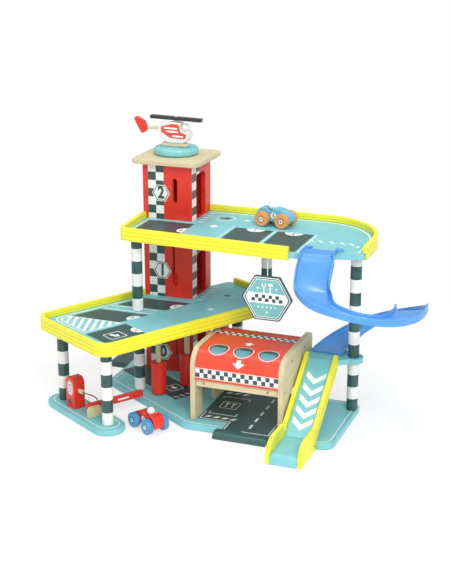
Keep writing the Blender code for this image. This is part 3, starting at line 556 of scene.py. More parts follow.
def rail_paint(name, colour, height):
    """Yellow rail with fine flutes along it, their grooves darkened with painted shade, and paler edges,
    partly rubbed and partly a painted highlight. The height function gives a socket: metres below its top.
    """
    nodes = Nodes(name, RAIL_EDGE)
    depth = height(nodes)
    beside = nodes.math("PINGPONG", nodes.math("ADD", depth, 0.5 * MM), 0.5 * FLUTE_PERIOD)
    flute = nodes.span(beside, 0.75 * MM, 0.15 * MM)
    flute = nodes.times(flute, nodes.math("GREATER_THAN", depth, FIRST_FLUTE))
    mottle = nodes.varied(30.0, 4.0)
    paint = nodes.mix(mottle, shade(colour, 0.95), shade(colour, 1.04))
    # Flute grooves darkened: painted shade in the grooves
    paint = nodes.tinted(paint, flute, 0.6, shade(colour, 0.52))
    edge_spots = nodes.span(nodes.noise(300.0, 4.0), 0.4, 0.6)
    # Paler spots on the edges: partly rubbed paint, partly a painted highlight
    paint = nodes.wear_and_edge_highlight(paint, edge_spots, 0.5, toward(colour, PALE_YELLOW, 0.6))
    streaks = nodes.noise(260.0, 3.0, stretch=(0.15, 0.15, 1.0))
    relief = nodes.math("SUBTRACT", nodes.times(streaks, 0.12), flute)
    gloss = nodes.varied(90.0, 3.0, 0.34, 0.48)
    return nodes.surface(paint, gloss, relief, 0.4 * MM, 0.7)


def plywood(name, grain_stretch, ply_axis=None, ply_start=0.0, colour=PLYWOOD):
    """Clear-lacquered plywood: long grain, and the plies' edges along ply_axis, from ply_start."""
    nodes = Nodes(name, RAIL_EDGE)
    broad = nodes.varied(55.0, 5.0, stretch=grain_stretch)
    fine = nodes.span(nodes.noise(420.0, 5.0, stretch=grain_stretch, offset=(0.3, 0.1, 0.2)), 0.35, 0.68)
    wood = nodes.mix(broad, shade(colour, 0.90), shade(colour, 1.10))
    dark_grain = toward(shade(colour, 0.72), GRAIN_BROWN, 0.3)
    wood = nodes.tinted(wood, fine, 0.30, dark_grain)
    relief = fine
    if ply_axis is not None:
        depth = nodes.math("SUBTRACT", nodes.axis(ply_axis), ply_start)
        glue = nodes.span(nodes.math("PINGPONG", depth, PLY_T), 0.9 * MM, 0.4 * MM)
        true_normal = nodes.add("NewGeometry").outputs["True Normal"]
        normal = nodes.add("SeparateXYZ", {0: true_normal}).outputs[ply_axis]
        edge_face = nodes.math("LESS_THAN", nodes.math("ABSOLUTE", normal), 0.5)
        ply = nodes.times(glue, edge_face)
        dark_glue = toward(shade(colour, 0.6), GLUE_BROWN, 0.4)
        wood = nodes.tinted(wood, ply, 0.42, dark_glue)
        relief = nodes.math("SUBTRACT", fine, ply)
    # Paler spots on the edges: partly rubbed lacquer, partly a painted highlight
    wood = nodes.wear_and_edge_highlight(wood, nodes.span(nodes.noise(350.0, 3.0), 0.42, 0.6), 0.5, shade(colour, 1.2))
    gloss = nodes.span(fine, 0.0, 1.0, 0.42, 0.58)
    return nodes.surface(wood, gloss, relief, 0.08 * MM, 0.6)


def post_paint(name, foot, top, bands, dark_first):
    """Dowel painted in even dark and white bands from its foot up."""
    nodes = Nodes(name, SHARP_EDGE)
    step = (top - foot) * MM / bands
    wobble = nodes.varied(260.0, 3.0, -0.12 * MM, 0.12 * MM)
    height = nodes.math("SUBTRACT", nodes.math("ADD", nodes.axis("Z"), wobble), foot * MM)
    phase = nodes.math("FLOORED_MODULO", nodes.math("DIVIDE", height, step), 2.0)
    odd_band = nodes.math("GREATER_THAN", phase, 1.0)
    mottle = nodes.varied(60.0, 4.0)
    dark = nodes.mix(mottle, shade(SLATE, 0.85), shade(SLATE, 1.2))
    white = nodes.mix(mottle, shade(WHITE, 0.95), shade(WHITE, 1.03))
    first, second = (dark, white) if dark_first else (white, dark)
    paint = nodes.mix(odd_band, first, second)
    grain = nodes.noise(230.0, 4.0, stretch=(1.0, 1.0, 0.08))
    gloss = nodes.varied(85.0, 3.0, 0.30, 0.44)
    return nodes.surface(paint, gloss, grain, 0.06 * MM, 0.6)


def moulded_plastic(name, colour, roughness=0.26):
    """Glossy injection-moulded plastic with faint flow marks, and a pale blue painted highlight along its
    rounded edges.
    """
    nodes = Nodes(name, PLASTIC_EDGE)
    flow = nodes.varied(26.0, 3.0, stretch=(1.0, 0.4, 1.6))
    tone = nodes.mix(flow, shade(colour, 0.95), shade(colour, 1.07))
    # Pale blue along the rounded edges: a painted highlight
    tone = nodes.tinted(tone, nodes.edges(), 0.35, toward(colour, EDGE_HIGHLIGHT_BLUE, 0.35))
    pebble = nodes.noise(1100.0, 2.0)
    gloss = nodes.varied(60.0, 4.0, roughness - 0.04, roughness + 0.08)
    return nodes.surface(tone, gloss, pebble, 0.03 * MM, 0.5)


def turned_wood_paint(name, colour, roughness=0.34, grain_share=0.10, edge_radius=SHARP_EDGE):
    """Paint or stain on turned wood, with the wood's pores showing."""
    nodes = Nodes(name, edge_radius)
    mottle = nodes.varied(90.0, 4.0)
    pores = nodes.span(nodes.noise(520.0, 4.0, stretch=(1.0, 1.0, 0.14)), 0.45, 0.66)
    paint = nodes.mix(mottle, shade(colour, 0.93), shade(colour, 1.06))
    paint = nodes.tinted(paint, pores, grain_share, shade(colour, 0.45))
    edge_spots = nodes.span(nodes.noise(600.0, 3.0), 0.4, 0.6)
    # Paler spots on the edges: partly rubbed paint, partly a painted highlight
    paint = nodes.wear_and_edge_highlight(paint, edge_spots, 0.45, toward(colour, TURNED_WOOD, 0.4))
    gloss = nodes.varied(120.0, 3.0, roughness - 0.05, roughness + 0.09)
    return nodes.surface(paint, gloss, pores, 0.05 * MM, 0.5)


def ink_paint(ink):
    """Screen-printed ink: a little uneven, slightly less glossy than the paint under it."""
    name = "ink_" + ink
    if name in bpy.data.materials:
        return bpy.data.materials[name]
    nodes = Nodes(name)
    colour = INKS[ink][0]
    patches = nodes.varied(140.0, 5.0)
    tone = nodes.mix(patches, shade(colour, 0.93), shade(colour, 1.05))
    gloss = nodes.varied(260.0, 3.0, 0.34, 0.50)
    return nodes.surface(tone, gloss, nodes.noise(800.0, 2.0), 0.03 * MM, 0.5)


def steel():
    """Brushed zinc-plated screw steel."""
    nodes = Nodes("screw_steel")
    streaks = nodes.noise(900.0, 3.0, stretch=(1.0, 0.2, 1.0))
    tone = nodes.mix(nodes.span(streaks, 0.3, 0.7), shade(STEEL, 0.8), shade(STEEL, 1.2))
    gloss = nodes.span(streaks, 0.3, 0.7, 0.28, 0.45)
    return nodes.surface(tone, gloss, streaks, 0.02 * MM, metallic=1.0)


def hose_rubber(name, colour):
    """Matt cord with a fine braid."""
    nodes = Nodes(name)
    wave = {"Vector": nodes.coordinates, "Scale": 420.0, "Distortion": 2.0}
    braid = nodes.add("TexWave", wave).outputs["Fac"]
    tone = nodes.mix(braid, shade(colour, 0.75), shade(colour, 1.1))
    gloss = nodes.span(braid, 0.0, 1.0, 0.45, 0.6)
    return nodes.surface(tone, gloss, braid, 0.1 * MM)


def below_top(top):
    """Function of a material's nodes that gives the metres below a level height."""
    return lambda nodes: nodes.math("SUBTRACT", top * MM, nodes.axis("Z"))


def below_ramp_rail(nodes):
    """Metres below the slanted top of the ramp's rails."""
    past_foot = nodes.math("SUBTRACT", nodes.axis("Y"), scene_y(RAMP_FOOT_Y))
    rise = nodes.times(past_foot, RAMP_SLOPE)
    top = (RAMP_FOOT_Z + RAMP_RAIL_ABOVE * math.hypot(1.0, RAMP_SLOPE)) * MM
    return nodes.math("SUBTRACT", nodes.math("ADD", rise, top), nodes.axis("Z"))


def finish_nodes():
    """Give every CAD node its finish."""
    def give(material, *names):
        for name in names:
            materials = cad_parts[name].data.materials
            materials.clear()
            materials.append(material)

    give(base_board_paint(), "base_board")
    give(board_paint("turquoise_paint", TURQUOISE), "lower_deck", "upper_deck", "pump_island", "ramp_board",
         "runout_board", "slide_platform")
    give(board_paint("red_paint", RED), "tower_front_panel", "tower_back_panel", "tower_left_panel",
         "tower_right_panel", "left_roller", "right_roller", "lift_car")
    give(board_paint("yellow_paint", YELLOW, 0.38), "runout_left_cheek", "runout_right_cheek")
    give(board_paint("cover_paint", COVER_RED, 0.33), "wash_cover")
    give(board_paint("sign_paint", SLATE, 0.32), "hex_sign")
    give(board_paint("pump_paint", RED, 0.30), "fuel_pump")
    give(board_paint("barrier_paint", RED, 0.32), "barrier_arm")

    lower_height, upper_height = below_top(LOWER_TOP + RAIL_ABOVE), below_top(UPPER_TOP + RAIL_ABOVE)
    give(rail_paint("lower_rail_paint", YELLOW, lower_height), "lower_deck_rail")
    give(rail_paint("upper_rail_paint", YELLOW, upper_height), "upper_front_rail", "upper_back_rail")
    give(rail_paint("ramp_rail_paint", YELLOW, below_ramp_rail), "ramp_left_rail", "ramp_right_rail")

    lengthwise, backward, upright = (0.07, 1.0, 1.0), (1.0, 0.07, 1.0), (1.0, 1.0, 0.07)
    left_inside, right_inside = scene_x(WASH_LEFT), scene_x(WASH_RIGHT - BOARD_T)
    give(plywood("roof_wood", lengthwise, "Z", ROOF_BOTTOM * MM), "roof_plate")
    give(plywood("left_panel_wood", backward, "X", left_inside), "wash_left_panel")
    give(plywood("right_panel_wood", backward, "X", right_inside), "wash_right_panel")
    give(plywood("bracket_wood", upright), "barrier_bracket")
    give(plywood("dowel_wood", upright), "left_roller_dowel", "right_roller_dowel")
    give(plywood("long_wood", lengthwise), "wash_front_bar", "wash_back_bar", "heli_skid", "heli_boom",
         "pump_nozzle")

    give(turned_wood_paint("helipad_paint", TURQUOISE, 0.30), "helipad_turntable")
    give(turned_wood_paint("helicopter_paint", IVORY, 0.28, 0.03, HELI_EDGE), "heli_body")
    give(turned_wood_paint("fin_paint", RED, 0.32, 0.10, HELI_EDGE), "heli_fin")
    give(turned_wood_paint("rotor_paint", BLACK, 0.32, 0.25), "heli_rotor")
    give(turned_wood_paint("head_paint", WHITE, 0.28, 0.03), "red_car_head", "blue_car_head")
    for car, colour, wheel_colour in (("red_car", RED, WHEEL_BLUE), ("blue_car", SKY, ORANGE)):
        give(turned_wood_paint(car + "_paint", colour, 0.28, 0.10, CAR_EDGE), car + "_body")
        give(turned_wood_paint(car + "_wheel_paint", wheel_colour, 0.32, 0.16),
             car + "_front_wheels", car + "_rear_wheels")
    give(hose_rubber("hanger_cord", WHITE), "sign_hanger")

    low, high = LOWER_TOP - BOARD_T, UPPER_TOP - BOARD_T
    for post, foot, top, bands, dark_first in (
        ("island_rear_post", BASE_TOP, low, 6, True),
        ("island_front_post", BASE_TOP, low, 6, False),
        ("base_middle_post", BASE_TOP, low, 6, False),
        ("base_wash_post", BASE_TOP, low, 6, False),
        ("deck_middle_post", LOWER_TOP, high, 6, False),
        ("deck_sign_post", LOWER_TOP, high, 6, True),
        ("slide_lower_post", BASE_TOP, PLATFORM_TOP - 9.0, 4, True),
        ("slide_upper_post", PLATFORM_TOP, high, 8, True),
    ):
        give(post_paint(post + "_paint", foot, top, bands, dark_first), post)


# Shared printed figures

def arrow(centre, length, half_width, turn, head=0.45, shaft=0.42):
    """Outline of an arrow that points along the turn angle, in degrees."""
    half, shoulder = 0.5 * length, 0.5 * length - length * head
    corners = [
        (half, 0.0), (shoulder, half_width), (shoulder, half_width * shaft), (-half, half_width * shaft),
        (-half, -half_width * shaft), (shoulder, -half_width * shaft), (shoulder, -half_width),
    ]
    return placed(corners, centre, turn)


def placed(corners, centre, turn):
    cos, sin = math.cos(math.radians(turn)), math.sin(math.radians(turn))
    return [(centre[0] + a * cos - b * sin, centre[1] + a * sin + b * cos) for a, b in corners]


def slanted_dash(centre, half_length, half_width, lean):
    a, b = centre
    return [
        (a - half_length, b - half_width), (a + half_length, b - half_width),
        (a + half_length + lean, b + half_width), (a - half_length + lean, b + half_width),
    ]


def checks(sheet, left, right, low, high, columns, rows, layer=1):
    """Two-tone check with a dark square in its low left corner."""
    wide, tall = (right - left) / columns, (high - low) / rows
    for row in range(rows):
        for column in range(columns):
            ink = "slate" if (row + column) % 2 == 0 else "white"
            a, b = left + column * wide, low + row * tall
            sheet.area(ink, box_outline(a, a + wide, b, b + tall), layer)


def hatch(sheet, ink, outline, heading, period, width):
    """Stripes along the heading, clipped to a convex outline."""
    along = Vector(heading).normalized()
    across = Vector((-along.y, along.x))
    depths = [Vector(corner).dot(across) for corner in outline]
    depth = min(depths) + 0.5 * (period - width)
    while depth < max(depths):
        stripe = clipped(outline, across * depth, across)
        stripe = clipped(stripe, across * (depth + width), -across) if len(stripe) > 2 else []
        if len(stripe) > 2:
            sheet.area(ink, stripe)
        depth += period


def badge(sheet, text, centre, radius):
    """Six-sided level badge with a number."""
    sheet.area("white", hexagon(centre, radius), 2)
    sheet.band("slate", hexagon(centre, radius - 1.4), hexagon(centre, radius - 3.0), 3)
    sheet.number("slate", text, centre, 1.22 * radius, 3, 0.0, 0.86, 0.055)


def bay_number(sheet, text, centre, radius, facing, reach, height, turn=0.0):
    """Half disc whose round side faces the given angle in degrees, with a number inside it."""
    sheet.area("white", arc(centre, radius, facing - 90.0, facing + 90.0, 18), 2)
    angle = math.radians(facing)
    spot = (centre[0] + reach * math.cos(angle), centre[1] + reach * math.sin(angle))
    sheet.number("slate", text, spot, height, 3, turn)


# Decks

def print_upper_deck():
    deck = Print("upper_deck_print", on_level(UPPER_TOP))
    edge = [(50.0, 74.5)] + arc((251.0, -25.0), 99.5, 90.0, 0.0, 16) + [(350.5, -84.0)]
    deck.line("white", edge, 2.5)
    deck.line("pale", [(46.0, -7.0), (-31.0, -7.0), (-31.0, -103.0)], 2.5)
    deck.area("slate", [(-26.5, -106.0), (54.0, -112.0), (54.0, -14.0), (-26.5, -14.0)])
    bay_number(deck, "0", (54.0, -57.0), 13.5, 180.0, 6.5, 8.0)
    for left, right in ((125.0, 189.0), (197.0, 258.0)):
        deck.area("slate", box_outline(left, right, -112.0, -9.0))
    for x in (119.5, 193.0, 262.0):
        deck.line("pale", [(x, -113.0), (x, -5.0)], 2.8)
    for bay, x in (("1", 160.0), ("2", 225.0)):
        bay_number(deck, bay, (x, -9.0), 15.5, -90.0, 7.0, 9.0)
    for x in (265.0, 279.0, 297.0, 314.6, 329.5):
        deck.area("pale", [(x - 8.0, -36.0), (x - 1.5, -36.0), (x + 7.0, -48.0), (x + 0.5, -48.0)], 2)
    for diamond, radius in (((341.0, -52.0), 4.0), ((88.3, -15.1), 7.5), ((127.3, 37.8), 6.0)):
        deck.area("white", circle(diamond, radius, 4), 2)
    spot = (89.5, 39.0)
    deck.disc("white", spot, 16.0, 2)
    deck.disc("sky", spot, 14.2, 3)
    deck.area("black", arrow(spot, 19.0, 7.0, 0.0), 4)
    door_dashes(deck)
    deck.finish()


def door_dashes(deck):
    """Slanted dashes on the deck beside the tower's door."""
    for step in range(6):
        deck.area("white", slanted_dash((55.0, 4.0 + 14.0 * step), 4.4, 2.0, 3.6), 2)


def print_lower_deck():
    deck = Print("lower_deck_print", on_turned_deck)
    edge = bent([(-60.0, 27.0, 0.0), (-214.0, 27.0, 16.0), (-214.0, -66.0, 0.0)], False)
    deck.line("white", edge, 2.0)
    corner = bent([(-208.0, 20.0, 10.0), (-208.0, -60.0, 0.0), (-141.0, -60.0, 0.0), (-184.0, 20.0, 0.0)])
    hatch(deck, "white", corner, (1.0, 1.0), 11.6, 5.4)
    deck.line("white", corner, 1.8, 2, True)
    deck.finish()
    bays = Print("lower_bays_print", on_level(LOWER_TOP))
    bays.area("slate", [(-109.4, -149.5), (-21.7, -149.5), (6.9, -100.0), (-80.8, -100.0)])
    bays.area("slate", [(-63.5, -70.0), (23.1, -70.0), (50.0, -22.0), (-35.8, -22.0)])
    for y in (-94.0, -76.0):
        bays.line("white", [(-77.0, y), (14.0, y)], 1.8)
    spot = (92.0, 38.7)
    bays.disc("pale", spot, 9.0)
    bays.disc("sky", spot, 7.8, 2)
    bays.area("black", arrow(spot, 12.0, 4.2, 0.0), 3)
    bays.area("white", circle((90.8, -38.7), 6.5, 4))
    door_dashes(bays)
    bays.finish()
    front = Print("front_bay_print", on_turned_deck)
    front.area("slate", bent([(-213.5, -68.0, 1.0), (-213.5, -136.5, 14.0), (-139.0, -136.5, 1.0),
                              (-137.0, -68.0, 1.0)]))
    front.line("white", rounded_box(-196.0, -167.0, -115.0, -89.0, 3.0), 1.6, 2, True)
    front.area("white", arrow((-181.5, -102.0), 18.0, 7.0, -60.0), 2)
    for bay, centre, facing in (("3", (-112.0, -56.0), 90.0), ("4", (-137.0, -103.0), 180.0),
                                ("5", (-23.0, -55.0), 90.0)):
        bay_number(front, bay, centre, 13.0, facing, 6.0, 7.5, -60.0)
    front.finish()


# Base

def print_base():
    base = Print("base_print", on_level(BASE_TOP))
    edge = bent([
        (163.0, -192.5, 0.0), (112.0, -192.5, 26.0), (-73.5, -72.0, 6.0), (-73.5, 88.5, 6.0),
        (98.0, 88.5, 6.0), (150.0, -30.5, 14.0), (341.5, -30.5, 12.0), (341.5, -192.5, 14.0),
        (326.0, -192.5, 0.0),
    ], False)
    base.line("white", edge, 1.6)
    for y in (14.0, 70.0):
        base.line("white", [(-80.0, y), (-74.4, y)], 1.4)
    print_road(base)
    print_roller_lane(base)
    base.finish()
    island = Print("island_print", on_level(BASE_TOP))
    start, end = Vector(ISLAND_AXIS[0]), Vector(ISLAND_AXIS[1])
    heading = math.degrees(math.atan2(*(end - start).yx))
    ring = arc(end, ISLAND_LINE_R, heading - 90.0, heading + 90.0, 14)
    ring += arc(start, ISLAND_LINE_R, heading + 90.0, heading + 270.0, 14)
    island.line("white", ring, 1.6, 1, True)
    island.finish()


def print_road(base):
    base.area("slate", [
        (121.0, -31.0), (121.0, -173.0), (172.0, -173.0), (172.0, -200.0), (249.0, -200.0),
        (249.0, -173.0), (256.0, -173.0), (256.0, -31.0),
    ], 2)
    base.line("white", [(124.0, -142.0), (124.0, -170.0), (175.0, -170.0), (175.0, -199.0)], 1.6, 3)
    base.line("white", [(247.0, -40.0), (247.0, -198.6), (204.0, -198.6)], 1.4, 3)
    for lip, back in ((-137.0, -147.0), (-83.0, -75.0)):
        base.line("white", [(130.0, lip), (130.0, back), (175.0, back), (175.0, lip)], 1.4, 3)
    for y, places in ((-160.0, (132.0, 146.0, 160.0, 174.0)), (-58.0, (130.0, 144.0, 159.0))):
        for x in places:
            base.area("white", slanted_dash((x, y), 3.6, 3.6, 5.0), 3)
    base.line("white", rounded_box(137.0, 166.0, -121.0, -94.0, 4.0), 1.4, 3, True)
    for x in (146.0, 157.0):
        base.area("white", box_outline(x - 1.2, x + 1.2, -117.0, -103.0), 3)
        base.area("white", box_outline(x - 4.0, x + 4.0, -103.0, -98.5), 3)
    for step in range(5):
        low = -183.0 + 27.0 * step
        base.area("white", box_outline(209.6, 213.4, low, low + 15.0), 3)


def print_roller_lane(base):
    along, across = Vector((0.837, -0.5465)), Vector((0.5465, 0.837))

    def lane(d, n):
        spot = along * d + across * n
        return spot.x, spot.y

    def lane_path(spots):
        return [lane(d, n) for d, n in spots]

    base.area("slate", lane_path([(-52.0, -65.0), (113.0, -65.0), (113.0, -17.0), (-52.0, -17.0)]), 2)
    base.line("white", lane_path(rounded_box(57.0, 81.0, -50.0, -26.0, 3.0)), 1.5, 3, True)
    base.area("white", lane_path(arrow((69.0, -38.0), 15.0, 6.0, 0.0)), 3)
    for n in (-60.0, -48.5, -37.0, -25.5):
        base.area("white", lane_path([(99.0, n), (104.0, n), (110.0, n + 6.0), (105.0, n + 6.0)]), 3)


# Tower

def tower_rows():
    """Floor, top and the two inks of each row of the tower's check, from the roof down."""
    top, low = ROOF_BOTTOM - PRINT_GAP, BASE_TOP + PRINT_GAP
    for row in range(math.ceil((top - low) / TOWER_SQUARE)):
        inks = ("white", "slate") if row % 2 == 0 else ("slate", "white")
        yield max(low, top - TOWER_SQUARE * (row + 1)), top - TOWER_SQUARE * row, inks


def print_tower():
    front = Print("tower_front_print", lambda a, b, height: at(a, -height, b))
    for floor, high, inks in tower_rows():
        for ink, left in zip(inks, (-34.4, -20.45)):
            front.area(ink, box_outline(left, left + 13.95, floor, high))
    for text, centre in (("2", (-11.4, 325.0)), ("1", (-10.8, 190.7)), ("0", (-11.4, 43.4))):
        badge(front, text, centre, BADGE_R)
    front.finish()
    side = Print("tower_side_print", lambda a, b, height: at(TOWER_HALF_W + height, a, b))
    left, right = DOOR_FRONT + 0.2, DOOR_FRONT + TOWER_SQUARE
    for floor, high, inks in tower_rows():
        side.area(inks[0], box_outline(PRINT_GAP, 7.7, floor, high))
        side.area(inks[0], box_outline(8.6, DOOR_FRONT - PRINT_GAP, floor, high))
        for door_top in DOOR_TOPS:
            if floor < door_top + PRINT_GAP < high:
                side.area(inks[1], box_outline(left, right, door_top + PRINT_GAP, high))
            elif door_top < floor < door_top + TOWER_SQUARE + 2.0:
                side.area(inks[1], box_outline(left, right, floor, high))
    side.finish()


# Car wash cover

def cover_place(x, s, height):
    """Point on the cover: s runs up its front from its foot, round the corner and back over the roof."""
    outer_y, outer_z = WASH_FRONT + COVER_INSET, WASH_TOP - COVER_INSET
    centre_y, centre_z = outer_y + WASH_CORNER_R, outer_z - WASH_CORNER_R
    rise = centre_z - COVER_FOOT_Z
    bend = 0.5 * math.pi * WASH_CORNER_R
    if s < rise:
        return at(x, outer_y - height, COVER_FOOT_Z + s)
    if s < rise + bend:
        turn = math.pi - (s - rise) / WASH_CORNER_R
        radius = WASH_CORNER_R + height + COVER_CLEARANCE
        return at(x, centre_y + radius * math.cos(turn), centre_z + radius * math.sin(turn))
    return at(x, centre_y + s - rise - bend, outer_z + height)


def print_wash_cover():
    cover = Print("wash_cover_print", cover_place, slices=2.4)
    left, right = 120.6, 256.1
    checks(cover, left, right, 5.2, 18.6, 20, 2)
    for s in (4.0, 19.8):
        cover.line("white", [(left, s), (right, s)], 1.0)
    checks(cover, left, right, 124.6, 136.2, 24, 2)
    for x in (150.7, 191.5, 232.8):
        for layer, ink in enumerate(("white", "red", "slate")):
            cover.disc(ink, (x, 60.5), PORTHOLE_R - 1.1 * layer, layer + 1)
        pane = circle((x, 57.6), 12.2)
        cover.area("glass", clipped(pane, (x, 62.6), (0.0, -1.0)), 4)
    cover.area("white", arrow((189.0, 93.0), 13.0, 8.6, 90.0, 0.55))
    cover.area("white", arrow((190.6, 33.2), 14.4, 10.0, -90.0, 0.6, 0.36))
    cover.finish()


# Ramp and run-out

def print_ramp():
    def ramp_place(x, y, height):
        tilt = math.atan(RAMP_SLOPE)
        z = RAMP_FOOT_Z + (y - RAMP_FOOT_Y) * RAMP_SLOPE
        return at(x, y - height * math.sin(tilt), z + height * math.cos(tilt))

    ramp = Print("ramp_print", ramp_place)
    for apex in (-115.0, -133.5, -151.0, -168.0, -185.0):
        ramp.area("white", [
            (295.0, apex - 4.5), (311.0, apex + 7.0), (311.0, apex + 15.5),
            (295.0, apex + 4.0), (279.0, apex + 15.5), (279.0, apex + 7.0),
        ])
    ramp.finish()


# Hanging sign

def print_sign():
    """The same printing on both faces, with a chequered middle band."""
    x, y, z = SIGN_CENTRE
    rims = (("white", 39.2), ("slate", 37.6), ("white", 35.8), ("sky", SIGN_FIELD_R))
    middle_band = cut_between(hexagon((0.0, 0.0), SIGN_FIELD_R), -SIGN_BAND_HALF, SIGN_BAND_HALF)
    for side, facing in (("front", -1.0), ("back", 1.0)):
        face_y = y + facing * 0.5 * SIGN_T

        def sign_place(a, b, height, facing=facing, face_y=face_y):
            return at(x - facing * a, face_y + facing * height, z + b)

        sign = Print("sign_%s_print" % side, sign_place, "hanging_sign")
        for layer, (ink, radius) in enumerate(rims, 1):
            sign.area(ink, bent([(a, b, 5.0) for a, b in hexagon((0.0, 0.0), radius)]), layer)
        sign.area("white", middle_band, 5)
        checks(sign, -25.2, 25.2, -5.6, 5.6, 9, 2, 6)
        print_tools(sign)
        for dot in range(-2, 3):
            sign.disc("white", (7.0 * dot, -14.5), 1.3, 5)
        for a, b in ((-15.5, 16.0), (15.5, 16.0), (0.0, -22.5)):
            sign.area("white", circle((a, b), 2.0, 4), 5)
        sign.finish()


def print_tools(sign):
    """Two upright tools side by side: an open spanner and a hammer."""
    sign.area("white", box_outline(-6.4, -4.0, 8.6, 19.0), 5)
    jaw = arc((-5.2, 21.4), 3.9, 122.0, 418.0, 16) + arc((-5.2, 21.8), 1.8, 418.0, 122.0, 10)
    sign.area("white", jaw, 5)
    sign.area("white", box_outline(4.2, 6.4, 8.6, 21.0), 5)
    sign.area("white", [(1.6, 20.0), (8.8, 20.0), (10.8, 23.0), (7.8, 24.2), (1.6, 24.2)], 5)


# Fuel pump, barrier and hose

def print_pump():
    """Round-ended label with plain bars, on the pump's front."""
    foot = Vector((*PUMP_CENTRE, 0.0)) - PUMP_ALONG * (0.5 * PUMP_D)

    def label_place(a, b, height):
        return at(*(foot - PUMP_ACROSS * a - PUMP_ALONG * height + UP * b))

    label = Print("pump_print", label_place)

    def oval(half_w, half_h):
        return [(a * half_w, 44.0 + b * half_h) for a, b in circle((0.0, 0.0), 1.0, 28)]

    label.area("white", oval(8.6, 12.6), 1)
    label.band("black", oval(7.6, 11.6), oval(6.7, 10.7), 2)
    for b, half in ((48.5, 4.6), (44.8, 5.6), (41.1, 5.6), (37.4, 3.6)):
        label.area("red" if half > 5.0 else "black", box_outline(-half, half, b, b + 1.6), 2)
    label.area("black", box_outline(-4.6, 1.6, 17.0, 25.0), 1)
    label.line("black", [(2.6, 18.0), (4.6, 18.0), (4.6, 24.0)], 1.0, 1)
    label.finish()


def print_barrier():
    along = Vector((math.cos(BARRIER_TURN), math.sin(BARRIER_TURN), 0.0))
    across = Vector((-math.sin(BARRIER_TURN), math.cos(BARRIER_TURN), 0.0))
    foot = Vector((*BARRIER_CORNER, BARRIER_PIVOT_Z)) + along * BARRIER_PIVOT_ALONG

    def arm_place(face, facing):
        return lambda a, b, height: at(*(foot + across * (face + facing * height) + along * a + UP * b))

    for name, face, facing in (("near", BARRIER_ARM_FRONT, -1.0), ("far", BARRIER_ARM_BACK, 1.0)):
        dash = Print("barrier_%s_print" % name, arm_place(face, facing), "barrier")
        dash.area("white", rounded_box(50.0, 71.0, -1.5, 1.5, 0.8))
        dash.finish()


def add_hose():
    """Red cord from the nozzle to the island behind the barrier's bracket."""
    start = Vector((*PUMP_CENTRE, NOZZLE_Z)) - PUMP_ACROSS * (PUMP_SIDE + NOZZLE_L + HOSE_GAP)
    end = Vector(HOSE_END)
    controls = (start, start - PUMP_ACROSS * HOSE_START_PULL, end + UP * HOSE_END_PULL, end)
    route = [at(*spot) for spot in interpolate_bezier(*controls, HOSE_STEPS + 1)]
    curve = bpy.data.curves.new("pump_hose_cord", "CURVE")
    curve.dimensions = "3D"
    curve.bevel_depth = 0.5 * HOSE_D * MM
    curve.bevel_resolution = 4
    curve.use_fill_caps = True
    spline = curve.splines.new("POLY")
    spline.points.add(len(route) - 1)
    for point, spot in zip(spline.points, route):
        point.co = (*spot, 1.0)
    hose = bpy.data.objects.new("pump_hose_cord", curve)
    bpy.context.scene.collection.objects.link(hose)
    curve.materials.append(hose_rubber("hose_cord_paint", shade(RED, 0.45)))
    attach(hose, "garage")
    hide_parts("pump_hose")


# Slide

# Middle of the slide's floor, degrees its outer side is raised, its wall height and its extra half width
SLIDE_UPPER_ROUTE = (
    (296.0, -96.0, 284.3, 0.0, 5.0, 0.0), (296.0, -119.5, 284.2, 0.0, 5.0, 0.2),
    (297.2, -125.5, 281.3, 0.0, 5.5, 1.0), (298.0, -132.5, 272.5, 1.0, 7.0, 2.4),
    (297.8, -143.0, 256.5, 3.0, 8.5, 2.2), (300.4, -157.4, 235.5, 7.0, 9.0, 1.6),
    (319.0, -169.4, 218.0, 11.0, 9.0, 0.8), (352.0, -169.0, 207.5, 12.0, 9.0, 0.0),
    (385.0, -161.0, 200.0, 12.0, 9.0, 0.0), (412.0, -141.0, 194.5, 10.0, 9.0, 0.0),
    (427.0, -111.0, 191.0, 8.0, 9.0, 0.0), (431.0, -80.0, 189.0, 6.0, 9.5, 0.0),
    (429.0, -50.0, 187.0, 5.0, 11.0, 0.0),
)
SLIDE_LOWER_ROUTE = (
    (424.0, -28.0, 179.0, 5.0, 9.0, 0.0), (412.0, -7.0, 167.0, 4.0, 9.0, 0.0),
    (392.0, 9.0, 154.0, 3.0, 9.0, 0.0), (364.0, 17.0, 140.0, 2.0, 9.0, 0.0),
    (336.0, 12.0, 126.0, 2.0, 8.5, 0.0), (315.0, -3.0, 113.0, 2.0, 7.0, 0.0),
    (303.0, -22.0, 106.0, 1.0, 5.0, 0.0), (298.0, -44.0, 103.9, 0.0, 3.5, 0.0),
    (297.5, -56.0, 103.9, 0.0, 3.0, 0.0),
)
SLIDE_TABS = (((270.9, -95.0, 286.2), (278.0, -90.0, 285.2)), ((320.2, -95.0, 286.2), (328.0, -90.5, 285.2)))
SLIDE_SPAN_STEPS = 9
SLIDE_SLOPE_REACH = 4
SLIDE_HEADING_BACK = 9
SLIDE_HEADING_AHEAD = 3
SLIDE_HALF_W = 25.5
SLIDE_WALL_T = 2.6
SLIDE_FLOOR_T = 2.5
SLIDE_TAB_R = 2.3
SLIDE_FOOT_R = 1.2
SLIDE_FILLET_R = 3.0
SLIDE_FILLET_CLEAR = 1.6
SLIDE_JOINT_GAP = 0.5
SHARP_ANGLE = 38.0


def smooth_route(stations, per_span):
    """Catmull-Rom curve through the stations."""
    spots = [Vector(station) for station in stations]
    spots = [spots[0] * 2 - spots[1]] + spots + [spots[-1] * 2 - spots[-2]]
    route = []
    for index in range(1, len(spots) - 2):
        a, b, c, d = spots[index - 1:index + 3]
        for step in range(per_span):
            t = step / per_span
            bend = (2 * a - 5 * b + 4 * c - d) * (t * t) + (3 * b - a - 3 * c + d) * (t * t * t)
            route.append((2 * b + (c - a) * t + bend) * 0.5)
    route.append(spots[-2])
    return route


